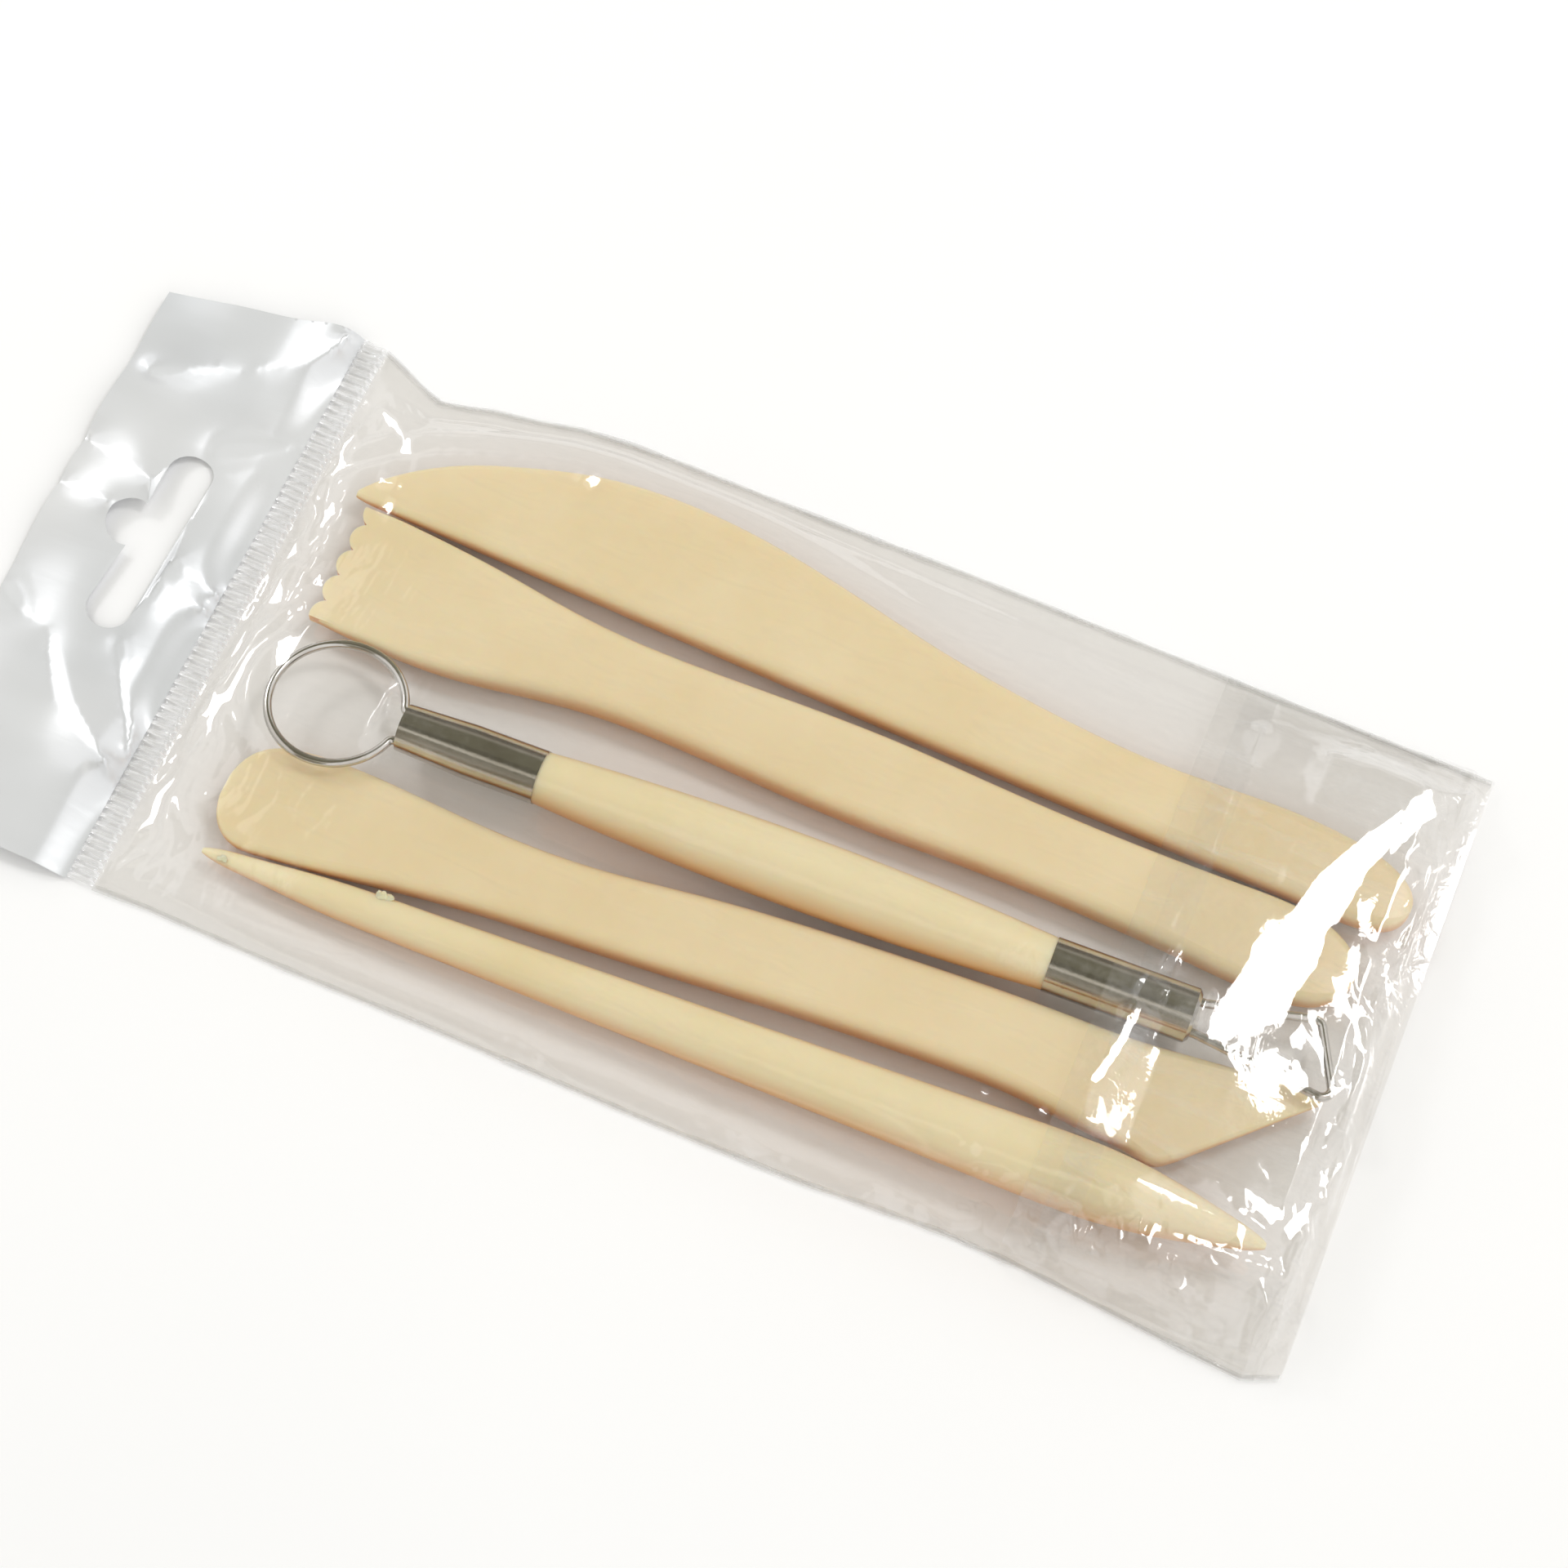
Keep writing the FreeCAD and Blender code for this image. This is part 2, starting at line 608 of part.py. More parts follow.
def make_pointed_tool():
    """Round tool with a long and a short point."""
    sections = []
    for i in range(len(POINTED)):
        ring = DOC.addObject("Part::Circle", f"pointed_section_{i}")
        ring.Placement = Placement(Vector(), ALONG)
        bind(ring, Radius=f"Sizes.pointed_radius_{i}")
        bind(ring, Placement__Base__x=f"Sizes.pointed_along_{i}")
        sections.append(ring)
    yaw, pitch = size("Sizes.point_yaw"), size("Sizes.point_pitch")
    turn = Rotation(Vector(0, 0, 1), yaw) * Rotation(Vector(0, 1, 0), -pitch)
    put(
        loft("pointed_loft", sections),
        "pointed_tool",
        x="Sizes.point_at",
        y="Sizes.point_middle",
        z="Sizes.point_height",
        turn=turn,
    )


def make_loop_tool():
    """Handle, two ferrules, two wire loops and the plugs that lock the wires."""
    turn = Rotation(Vector(0, 0, 1), size("Sizes.loop_yaw"))
    turn = turn * Rotation(Vector(1, 0, 0), size("Sizes.loop_roll"))
    place = dict(x="Sizes.loop_at", y="Sizes.loop_middle", z="Sizes.loop_height", turn=turn)

    put(make_handle(), "loop_tool_handle", **place)

    outside, wall, inside = "Sizes.ferrule_radius", "Sizes.ferrule_wall", "Sizes.tenon_radius"
    mouth = "-Sizes.ferrule_length"
    mouth_inside = f"(Sizes.ferrule_nose - {wall})"
    cone_end = "-Sizes.tenon_length"
    ring_ferrule = [
        (mouth, mouth_inside),
        (cone_end, inside),
        ("0", inside),
        ("0", outside),
        (cone_end, outside),
        (mouth, "Sizes.ferrule_nose"),
    ]
    put(turned("ring_ferrule_body", ring_ferrule), "ring_ferrule", **place)

    shoulder = "Sizes.handle_length"
    nose = f"({shoulder} + Sizes.ferrule_length)"
    nose_inside = f"({inside} - Sizes.nose_round + Sizes.nose_flare)"
    triangle_ferrule = [
        (shoulder, inside),
        (f"{nose} - Sizes.nose_round", inside),
        (nose, nose_inside),
        (nose, f"{outside} - Sizes.nose_round"),
        (f"{nose} - Sizes.nose_round", outside),
        (shoulder, outside),
    ]
    put(turned("triangle_ferrule_body", triangle_ferrule), "triangle_ferrule", **place)

    put(wire_sweep("ring_wire", ring_edges()), "ring_loop", **place)
    put(wire_sweep("triangle_wire", triangle_edges()), "triangle_loop", **place)

    depth = "Sizes.wire_depth"
    slope = f"({inside} - {mouth_inside}) / (Sizes.ferrule_length - Sizes.tenon_length)"
    ring_core = [
        (f"{mouth} + Sizes.plug_inset", "0"),
        (f"{mouth} + {depth}", "0"),
        (f"{mouth} + {depth}", f"{mouth_inside} + {slope} * {depth}"),
        (f"{mouth} + Sizes.plug_inset", f"{mouth_inside} + {slope} * Sizes.plug_inset"),
    ]
    put(plug("ring_plug", ring_core, mouth), "ring_wire_plug", **place)
    triangle_core = [
        (f"{nose} - {depth}", "0"),
        (f"{nose} - Sizes.nose_round", "0"),
        (f"{nose} - Sizes.nose_round", inside),
        (f"{nose} - {depth}", inside),
    ]
    put(plug("triangle_plug", triangle_core, f"{nose} - {depth}"), "triangle_wire_plug", **place)


def make_handle():
    """Barrel handle with a tenon at each end."""
    start, end = "0", "Sizes.handle_length"
    tenon = "Sizes.tenon_radius"
    tenon_start, tenon_end = "-Sizes.tenon_length", "Sizes.handle_length + Sizes.tenon_length"
    profile = [
        (tenon_start, "0"),
        (tenon_end, "0"),
        (tenon_end, tenon),
        (end, tenon),
        (end, "Sizes.handle_end"),
        (start, "Sizes.handle_end"),
        (start, tenon),
        (tenon_start, tenon),
    ]
    rise = "(Sizes.handle_belly - Sizes.handle_end)"
    belly = f"(Sizes.handle_length ^ 2 / 4 + {rise} ^ 2) / (2 * {rise})"
    return turned("handle_body", profile, arc=(4, belly))


def plug(name, profile, leg_start):
    """A turned core with a channel for each leg of a wire."""
    legs = []
    for side in "+-":
        leg = DOC.addObject("Part::Cylinder", f"{name}_leg_{len(legs)}")
        leg.Placement = Placement(Vector(), ALONG)
        bind(leg, Radius="Sizes.wire_radius", Height="Sizes.wire_depth")
        bind(leg, Placement__Base__x=leg_start, Placement__Base__y=f"0 {side} Sizes.wire_spread")
        legs.append(leg)
    core = turned(f"{name}_core", profile)
    return combined("Part::Cut", f"{name}_cut", core, fused(f"{name}_legs", legs))


def ring_edges():
    """Centre line of the ring's wire: one leg, a bend, the ring, a bend and the other leg."""
    ring, bend = size("Sizes.ring_radius"), size("Sizes.leg_round")
    spread, mouth = size("Sizes.wire_spread"), -size("Sizes.ferrule_length")
    centre = Vector(mouth - ring - size("Sizes.wire_radius"), 0, 0)
    bend_centre = centre + Vector(sqrt((ring + bend) ** 2 - (spread + bend) ** 2), spread + bend, 0)
    leg_end = Vector(mouth + size("Sizes.wire_depth"), spread, 0)
    bend_start = Vector(bend_centre.x, spread, 0)
    ring_start = centre + (bend_centre - centre).normalize() * ring
    outward = (bend_start - bend_centre) + (ring_start - bend_centre)
    bend_middle = bend_centre + outward.normalize() * bend

    def mirrored(point):
        return Vector(point.x, -point.y, 0)

    upper = [leg_end, bend_start, bend_middle, ring_start]
    lower = [mirrored(point) for point in upper]
    return [
        Part.LineSegment(upper[0], upper[1]),
        Part.Arc(upper[1], upper[2], upper[3]),
        Part.Arc(upper[3], centre - Vector(ring, 0, 0), lower[3]),
        Part.Arc(lower[3], lower[2], lower[1]),
        Part.LineSegment(lower[1], lower[0]),
    ]


def triangle_edges():
    """Centre line of the triangle's wire, from one leg in the ferrule to the other."""
    nose = size("Sizes.handle_length + Sizes.ferrule_length")
    inside = nose - size("Sizes.wire_depth")
    spread = size("Sizes.wire_spread")
    corners = [Vector(nose + along, across, 0) for along, across in TRIANGLE]
    points = [Vector(inside, spread, 0), *corners, Vector(inside, -spread, 0)]
    return rounded_path(points, size("Sizes.triangle_round"))


def check_and_write():
    """Refuse a failed object or a bad shape, then write one STEP file for each sub-part."""
    DOC.recompute()
    for thing in DOC.Objects:
        if "Invalid" in thing.State or "Error" in thing.State:
            raise RuntimeError(f"{thing.Name} failed: {thing.State}")
    os.makedirs("parts", exist_ok=True)
    for part in PARTS:
        shape = part.Shape
        if shape.isNull() or not shape.isValid() or not shape.Solids:
            raise RuntimeError(f"{part.Label} has no valid solid")
        shape.exportStep(f"parts/{part.Label}.step")
        low, high = shape.BoundBox.XMin, shape.BoundBox.XMax
        print(f"{part.Label}: {shape.Volume:.1f} mm3, x {low:.2f} to {high:.2f}")


fill_sheet()
make_pouch()
make_flat_tools()
make_pointed_tool()
make_loop_tool()
check_and_write()
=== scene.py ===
"""Looks of a set of five clay tools in a clear header pouch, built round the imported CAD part."""

import json
import math

import bmesh
import bpy
import numpy as np
from mathutils import Matrix, Vector, noise
from mathutils.bvhtree import BVHTree
from mathutils.geometry import delaunay_2d_cdt

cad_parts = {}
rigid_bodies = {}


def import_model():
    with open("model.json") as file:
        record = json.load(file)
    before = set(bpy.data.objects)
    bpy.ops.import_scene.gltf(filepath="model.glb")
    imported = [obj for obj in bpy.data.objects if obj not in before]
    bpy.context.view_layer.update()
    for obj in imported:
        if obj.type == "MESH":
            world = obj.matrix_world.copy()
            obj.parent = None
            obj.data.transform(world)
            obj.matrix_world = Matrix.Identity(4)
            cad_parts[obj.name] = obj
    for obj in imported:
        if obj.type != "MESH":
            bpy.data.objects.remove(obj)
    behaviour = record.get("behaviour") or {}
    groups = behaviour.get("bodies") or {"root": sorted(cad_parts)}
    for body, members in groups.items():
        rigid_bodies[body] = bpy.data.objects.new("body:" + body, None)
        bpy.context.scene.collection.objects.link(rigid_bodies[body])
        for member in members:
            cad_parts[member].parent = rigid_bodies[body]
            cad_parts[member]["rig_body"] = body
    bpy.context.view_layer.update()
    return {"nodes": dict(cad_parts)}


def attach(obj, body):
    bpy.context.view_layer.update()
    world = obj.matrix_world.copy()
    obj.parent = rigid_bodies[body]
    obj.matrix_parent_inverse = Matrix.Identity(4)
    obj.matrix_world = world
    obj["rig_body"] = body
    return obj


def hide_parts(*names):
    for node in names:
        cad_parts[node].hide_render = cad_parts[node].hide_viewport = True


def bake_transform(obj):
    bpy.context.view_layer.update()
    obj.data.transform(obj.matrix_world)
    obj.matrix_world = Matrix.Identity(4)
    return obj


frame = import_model()
NODES = frame["nodes"]
MM = 0.001
# Pouch coordinates are in mm, along x from the weld's line and along y from the near seam.
# The row frame's origin lies here in them.
ORIGIN = np.array([68.4, 43.75, 0.0])
# The camera, in pouch coordinates, and its right, up and backward directions.
EYE = np.array([127.22, -94.66, 362.75])
CAMERA_AXES = (0.9207, 0.3892, 0.0298), (-0.3700, 0.8457, 0.3847), (0.1245, -0.3652, 0.9226)
# Softboxes: the point that each is aimed at and its distance, in mm, its direction from there, its size in m
# and its radiance.
SOFTBOXES = {"key": ((110, 45, 0), 750, (0.2816, 0.3922, 0.8757), (0.15, 0.11), 17.0),
             "fill": ((0, 45, 0), 800, (-0.7014, 0.3470, 0.6225), (0.16, 0.12), 15.0)}
LAMPS = {name: np.array(aim) + reach * np.array(way) for name, (aim, reach, way, _, _) in SOFTBOXES.items()}


def rows(points):
    """Pouch coordinates in mm as row-frame metres."""
    return (np.asarray(points, float) - ORIGIN) * MM


def place(x, y, z):
    """One point in pouch coordinates as row-frame metres."""
    return Vector(rows((x, y, z)))


def new_object(name, data):
    """An object with that data, in the scene."""
    made = bpy.data.objects.new(name, data)
    bpy.context.scene.collection.objects.link(made)
    return made


# ------------------------------------------------------------------ camera, floor and light
def make_camera():
    data = bpy.data.cameras.new("photo_camera")
    data.lens, data.sensor_width = 68.56, 36.0
    data.clip_start, data.clip_end = 0.01, 10.0
    camera = new_object("photo_camera", data)
    camera.rotation_mode = "QUATERNION"
    camera.rotation_quaternion = Matrix(CAMERA_AXES).transposed().to_quaternion()
    camera.location = place(*EYE)
    bpy.context.scene.camera = camera


def make_softbox(name, aim, reach, way, size, radiance):
    """A rectangular area light of that radiance, facing the point that it is aimed at."""
    data = bpy.data.lights.new(name, "AREA")
    data.shape, data.size, data.size_y = "RECTANGLE", size[0], size[1]
    data.energy = radiance * math.pi * size[0] * size[1]
    lamp = new_object(name, data)
    towards = Vector(way).normalized()
    lamp.location = place(*aim) + towards * reach * MM
    lamp.rotation_mode = "QUATERNION"
    lamp.rotation_quaternion = towards.to_track_quat("Z", "Y")


class Tree:
    """A node tree with its output and texture coordinates, and short calls for adding and linking nodes."""

    def __init__(self, owner, output="ShaderNodeOutputMaterial"):
        owner.use_nodes = True
        self.tree = owner.node_tree
        self.tree.nodes.clear()
        self.output = self.add(output)
        self.coordinates = self.add("ShaderNodeTexCoord").outputs
        self.object = self.coordinates["Object"]

    def add(self, kind, inputs=None, **settings):
        node = self.tree.nodes.new(kind)
        for name, value in settings.items():
            setattr(node, name, value)
        for name, value in (inputs or {}).items():
            if isinstance(value, bpy.types.NodeSocket):
                self.tree.links.new(value, node.inputs[name])
            else:
                node.inputs[name].default_value = value
        return node

    def show(self, shader):
        self.tree.links.new(shader.outputs[0], self.output.inputs[0])

    def ramp(self, factor, stops):
        node = self.add("ShaderNodeValToRGB", {"Fac": factor})
        while len(node.color_ramp.elements) < len(stops):
            node.color_ramp.elements.new(0.5)
        for element, (position, colour) in zip(node.color_ramp.elements, stops):
            element.position = position
            element.color = (*colour, 1) if isinstance(colour, tuple) else (colour, colour, colour, 1)
        return node.outputs["Color"]

    def math(self, operation, first, second=0.0, third=0.0):
        return self.add("ShaderNodeMath", {0: first, 1: second, 2: third}, operation=operation).outputs[0]

    def mix(self, factor, first, second):
        return self.add("ShaderNodeMix", {"Factor": factor, "A": first, "B": second},
                        data_type="RGBA").outputs["Result"]

    def rise(self, value, low, high):
        """0 up to low and 1 from high on, straight between."""
        node = self.add("ShaderNodeMapRange", {"Value": value, "From Min": low, "From Max": high})
        return node.outputs["Result"]

    def noise(self, where, scale, detail=2.0, roughness=0.5, distortion=0.0):
        return self.add("ShaderNodeTexNoise", {"Vector": where, "Scale": scale, "Detail": detail,
                        "Roughness": roughness, "Distortion": distortion}).outputs["Fac"]

    def stretched(self, across):
        """Object coordinates whose texture is drawn out along x."""
        return self.add("ShaderNodeMapping", {"Vector": self.object, "Scale": (1.0, across, 1.0)}).outputs[0]

    def bump(self, height, strength, distance):
        node = self.add("ShaderNodeBump", {"Height": height, "Strength": strength, "Distance": distance})
        return node.outputs["Normal"]


def make_world():
    world = bpy.data.worlds.new("studio")
    bpy.context.scene.world = world
    t = Tree(world, "ShaderNodeOutputWorld")
    parts = t.add("ShaderNodeSeparateXYZ", {"Vector": t.coordinates["Generated"]}).outputs
    sky = t.ramp(parts["Z"], [(0.0, (0.26, 0.25, 0.23)), (0.10, (0.60, 0.59, 0.58)),
                              (0.30, (1.10, 1.10, 1.10)), (1.0, (1.18, 1.18, 1.18))])
    # a darker strip overhead, from the far side to the near side, which the round metal mirrors in bands
    turn = t.math("DIVIDE", t.math("ARCTAN2", parts["Z"], parts["Y"]), math.pi)
    bands = t.ramp(turn, [(0.0, (0.12, 0.11, 0.09)), (0.10, (0.16, 0.14, 0.11)), (0.17, (0.42, 0.40, 0.34)),
                          (0.24, (0.20, 0.19, 0.13)), (0.50, (0.20, 0.19, 0.13)), (0.53, (0.14, 0.13, 0.09)),
                          (0.60, (0.14, 0.13, 0.09)), (0.645, (0.75, 0.72, 0.62)), (0.68, (0.75, 0.72, 0.62)),
                          (0.71, (0.22, 0.20, 0.14)), (0.85, (0.35, 0.32, 0.25)), (0.92, (0.20, 0.17, 0.12)),
                          (0.96, (0.80, 0.78, 0.72)), (1.0, (0.80, 0.78, 0.72))])
    strip_x, strip_half, strip_end = -0.16, 0.25, 0.33
    off = t.math("ABSOLUTE", t.math("ADD", parts["X"], -strip_x))
    sky = t.mix(t.rise(off, strip_half, strip_end), bands, sky)
    t.show(t.add("ShaderNodeBackground", {"Color": sky, "Strength": 1.0}))


def make_stage():
    bpy.ops.mesh.primitive_plane_add(size=6.0, location=(0, 0, -0.00015))
    floor = bpy.context.object
    floor.name = "floor"
    paper = bpy.data.materials.new("white_table")
    t = Tree(paper)
    shade = t.ramp(t.noise(t.object, 6.0, detail=3.0), [(0.3, (0.98, 0.98, 0.98)), (0.7, (1.0, 1.0, 1.0))])
    t.show(t.add("ShaderNodeBsdfPrincipled", {
        "Base Color": shade, "Roughness": 0.6, "Specular IOR Level": 0.2}))
    floor.data.materials.append(paper)


# ------------------------------------------------------------------ materials
def new_material(name):
    material = bpy.data.materials.new(name)
    return material, Tree(material)


def srgb(r, g, b):
    """A colour as read from a picture, 0 to 255, made linear."""
    return tuple(((c / 255 + 0.055) / 1.055) ** 2.4 for c in (r, g, b))


def ivory(name, base, deep, side=(216, 156, 88)):
    """Moulded plastic that glows a little, with a painted warm shade on faces that turn away from the top."""
    material, t = new_material(name)
    cloud = t.noise(t.object, 55.0, detail=3.0, roughness=0.55)
    colour = t.ramp(cloud, [(0.25, srgb(*deep)), (0.7, srgb(*base))])
    # painted shade and glow: the sides get a deeper, warmer colour, fading in as a face turns from the top
    upward = t.add("ShaderNodeSeparateXYZ", {"Vector": t.coordinates["Normal"]}).outputs["Z"]
    colour = t.mix(t.rise(upward, -0.1, 0.72), (*srgb(*side), 1), colour)
    grain = t.noise(t.object, 2600.0, detail=2.0, roughness=0.6)
    swell = t.noise(t.object, 160.0, detail=2.0, roughness=0.5)
    relief = t.bump(t.math("MULTIPLY_ADD", grain, 0.10, swell), strength=0.18, distance=0.0004)
    rough = t.ramp(t.noise(t.object, 300.0, detail=3.0), [(0.3, 0.30), (0.75, 0.40)])
    t.show(t.add("ShaderNodeBsdfPrincipled", {
        "Base Color": colour, "Roughness": rough, "Normal": relief,
        "Subsurface Weight": 0.5, "Subsurface Radius": (1.0, 0.55, 0.28), "Subsurface Scale": 0.003,
        "IOR": 1.49, "Specular IOR Level": 0.5}))
    return material


def chrome(name):
    """Chromed metal, not quite clean, with fine scratches."""
    material, t = new_material(name)
    cloud = t.noise(t.object, 140.0, detail=3.0)
    colour = t.ramp(cloud, [(0.3, (0.50, 0.47, 0.43)), (0.7, (0.66, 0.64, 0.61))])
    rough = t.ramp(t.noise(t.object, 700.0, detail=3.0), [(0.3, 0.09), (0.8, 0.20)])
    relief = t.bump(t.noise(t.object, 1800.0, detail=2.0), strength=0.06, distance=0.0002)
    t.show(t.add("ShaderNodeBsdfPrincipled", {
        "Base Color": colour, "Metallic": 1.0, "Roughness": rough, "Normal": relief}))
    return material


def clear_film(name, tint, haze, fine=1.0, gloss_gain=1.0, rib_pitch=None):
    """Thin clear film: what is behind it, plus the mirror-like gloss of its two faces and a little haze.
    The haze is in streaks and specks; or, given a pitch in metres, it is drawn in ribs along x as painted
    highlight lines over a little haze."""
    material, t = new_material(name)
    crinkle = t.noise(t.object, 330.0, detail=3.0, roughness=0.5, distortion=0.6)
    drawn = t.noise(t.object, 2200.0, detail=2.0, roughness=0.5)
    relief = t.bump(t.math("MULTIPLY_ADD", drawn, 0.05, crinkle), strength=0.10 * fine, distance=0.0006)
    gloss = t.add("ShaderNodeBsdfGlossy", {"Color": (1, 1, 1, 1), "Roughness": 0.05, "Normal": relief})
    through = t.add("ShaderNodeBsdfTransparent", {"Color": (*tint, 1)})
    veil = t.add("ShaderNodeBsdfDiffuse", {"Color": (0.9, 0.9, 0.9, 1)})
    if rib_pitch:
        # painted highlight lines along the ribs, over a faint real haze
        wave = t.add("ShaderNodeTexWave", {
            "Vector": t.object, "Scale": math.pi / 10 / rib_pitch, "Distortion": 1.2,
            "Detail": 1.0, "Detail Scale": 0.8}, bands_direction="Y").outputs["Fac"]
        haze_and_painted_rib_lines = t.ramp(wave, [(0.5, haze * 0.3), (0.82, haze * 4.0)])
    else:
        streaks = t.noise(t.stretched(5.0), 70.0, detail=5.0, roughness=0.62, distortion=0.8)
        streaks = t.ramp(streaks, [(0.50, 0.0), (0.78, 1.0)])
        specks = t.noise(t.object, 420.0, detail=5.0, roughness=0.65)
        specks = t.ramp(specks, [(0.35, haze * 0.4), (0.8, haze * 1.4)])
        haze_and_painted_rib_lines = t.math("MULTIPLY_ADD", streaks, haze * 3.0, specks)
    body = t.add("ShaderNodeMixShader", {0: haze_and_painted_rib_lines, 1: through.outputs[0], 2: veil.outputs[0]})
    # Schlick's curve for the share of light that two faces of plastic reflect
    facing = t.add("ShaderNodeLayerWeight", {"Blend": 0.5, "Normal": relief}).outputs["Facing"]
    share = t.math("MULTIPLY_ADD", t.math("POWER", facing, 5.0), 0.94, 0.06 * gloss_gain)
    share = t.math("MINIMUM", share, 0.9)
    t.show(t.add("ShaderNodeMixShader", {0: share, 1: body.outputs[0], 2: gloss.outputs[0]}))
    return material


def pearl_film(name):
    """Pearl white film: satin body with a soft drawn grain under a clear glossy face."""
    material, t = new_material(name)
    cloud = t.noise(t.object, 24.0, detail=2.0, roughness=0.4)
    colour = t.ramp(cloud, [(0.3, srgb(221, 224, 227)), (0.7, srgb(240, 241, 242))])
    grain = t.stretched(4.0)
    crinkle = t.noise(grain, 90.0, detail=2.0, roughness=0.4, distortion=0.4)
    relief = t.bump(crinkle, strength=0.10, distance=0.0008)
    rough = t.ramp(t.noise(grain, 60.0, detail=2.0), [(0.3, 0.28), (0.75, 0.36)])
    t.show(t.add("ShaderNodeBsdfPrincipled", {
        "Base Color": colour, "Roughness": rough, "Normal": relief, "IOR": 1.5,
        "Metallic": 0.2, "Coat Weight": 1.0, "Coat Roughness": 0.09}))
    return material


# ------------------------------------------------------------------ what the film lies on
# The map's step and the height that stands for nothing there, in mm, and where its rays start.
STEP, BARE, RAY_TOP = 0.5, -50.0, 40.0
MAP_X = np.arange(-4.0, 168.01, STEP)
MAP_Y = np.arange(-3.0, 91.01, STEP)
# How far each tool's body slides along x either way, in mm, and the room left beyond that.
SLIDES = {"knife": (-3, 1), "toothed": (-3, 1.5), "loop_tool": (-2.5, 1), "spatula": (-3.5, 1),
          "pointed": (-2, 2)}
SLIDE_ROOM = 0.5


def surface_map(meshes):
    """Highest z in mm of these meshes over the map's grid."""
    heights = np.full((len(MAP_X), len(MAP_Y)), BARE)
    down = Vector((0, 0, -1))
    for mesh in meshes:
        points = np.empty(len(mesh.vertices) * 3)
        mesh.vertices.foreach_get("co", points)
        points = points.reshape(-1, 3) / MM + ORIGIN
        tree = BVHTree.FromPolygons([tuple(p) for p in points], [tuple(f.vertices) for f in mesh.polygons])
        lo, hi = points.min(0), points.max(0)
        for i in np.flatnonzero((MAP_X > lo[0] - STEP) & (MAP_X < hi[0] + STEP)):
            for j in np.flatnonzero((MAP_Y > lo[1] - STEP) & (MAP_Y < hi[1] + STEP)):
                hit = tree.ray_cast(Vector((MAP_X[i], MAP_Y[j], RAY_TOP)), down)[0]
                if hit is not None:
                    heights[i, j] = max(heights[i, j], hit.z)
    return heights


def spread(heights, left, right, across=1):
    """The map grown from left to right mm along x and by that many cells across y."""
    along = heights
    for shift in range(round(left / STEP), round(right / STEP) + 1):
        along = np.maximum(along, np.roll(heights, shift, 0))
    grown = along
    for shift in range(-across, across + 1):
        grown = np.maximum(grown, np.roll(along, shift, 1))
    return grown


def tool_map():
    """Highest z of the tools wherever they slide."""
    total = np.full((len(MAP_X), len(MAP_Y)), BARE)
    for body, (low, high) in SLIDES.items():
        meshes = [node.data for node in NODES.values() if node["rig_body"] == body]
        total = np.maximum(total, spread(surface_map(meshes), low - SLIDE_ROOM, high + SLIDE_ROOM))
    return total


def eased(share):
    """0 to 1 with a level start and end."""
    return share * share * (3 - 2 * share)


def bilinear(grid, u, v, soft=False):
    """A grid's values at fractional indices, with level starts and ends in each cell if soft."""
    i, j = u.astype(int), v.astype(int)
    a, b = u - i, v - j
    if soft:
        a, b = eased(a), eased(b)
    return ((1 - a) * (1 - b) * grid[i, j] + a * (1 - b) * grid[i + 1, j]
            + (1 - a) * b * grid[i, j + 1] + a * b * grid[i + 1, j + 1])


def last_index(count):
    """Just short of the last index, so that there is a next one."""
    return count - 1.001


def look_up(heights, x, y):
    """The map's heights at those points."""
    u = np.clip((x - MAP_X[0]) / STEP, 0, last_index(len(MAP_X)))
    v = np.clip((y - MAP_Y[0]) / STEP, 0, last_index(len(MAP_Y)))
    return bilinear(heights, u, v)


# ------------------------------------------------------------------ film solver
class Film:
    """A grid of points tied by lengths: those of its first shape, longer where the film is slack."""

    # For each kind of link: its step along the grid, its stiffness and whether it only pushes apart.
    LINKS = (((1, 0), 1.0, False), ((0, 1), 1.0, False), ((1, 1), 0.25, False), ((1, -1), 0.25, False),
             ((2, 0), 0.08, True), ((0, 2), 0.08, True), ((4, 0), 0.08, True), ((0, 4), 0.08, True))
    # Fall in mm per step and the share of its speed that a point keeps.
    GRAVITY, KEEP = 0.0006, 0.9
    # Keeps a length or a weight from being nothing where it is divided by.
    LEAST = 1e-9

    def __init__(self, points, weight, slack):
        self.p, self.w = points.copy(), weight
        nu, nv = weight.shape
        self.links = []
        for (si, sj), stiff, only_push in self.LINKS:
            # two sets of each kind, so that no point is in two links of one set
            for parity in (0, 1):
                i, j = np.arange(nu - si), np.arange(nv - abs(sj))
                if si:
                    i = i[(i // si) % 2 == parity]
                else:
                    j = j[(j // sj) % 2 == parity]
                j0 = j if sj >= 0 else j - sj
                a, b = np.ix_(i, j0), np.ix_(i + si, j0 + sj)
                rest = np.linalg.norm(points[b] - points[a], axis=-1) * (1 + (slack[a] + slack[b]) / 2)
                self.links.append((a, b, rest, stiff, only_push))

    def settle(self, steps, under, over):
        """Let the points fall on the map of what is under them, and no higher than over."""
        before = self.p.copy()
        free = self.w > 0
        for _ in range(steps):
            drift = (self.p - before) * self.KEEP
            before = self.p.copy()
            self.p = self.p + np.where(free[..., None], drift, 0.0)
            self.p[..., 2] -= self.GRAVITY * free
            for a, b, rest, stiff, only_push in self.links:
                pa, pb = self.p[a], self.p[b]
                gap = pb - pa
                size = np.sqrt((gap * gap).sum(-1)) + self.LEAST
                error = np.minimum(size - rest, 0.0) if only_push else size - rest
                wa, wb = self.w[a], self.w[b]
                move = gap * (stiff * error / size / np.maximum(wa + wb, self.LEAST))[..., None]
                self.p[a] = pa + move * wa[..., None]
                self.p[b] = pb - move * wb[..., None]
            z = np.minimum(np.maximum(self.p[..., 2], look_up(under, self.p[..., 0], self.p[..., 1])), over)
            self.p[..., 2] = np.where(free, z, self.p[..., 2])


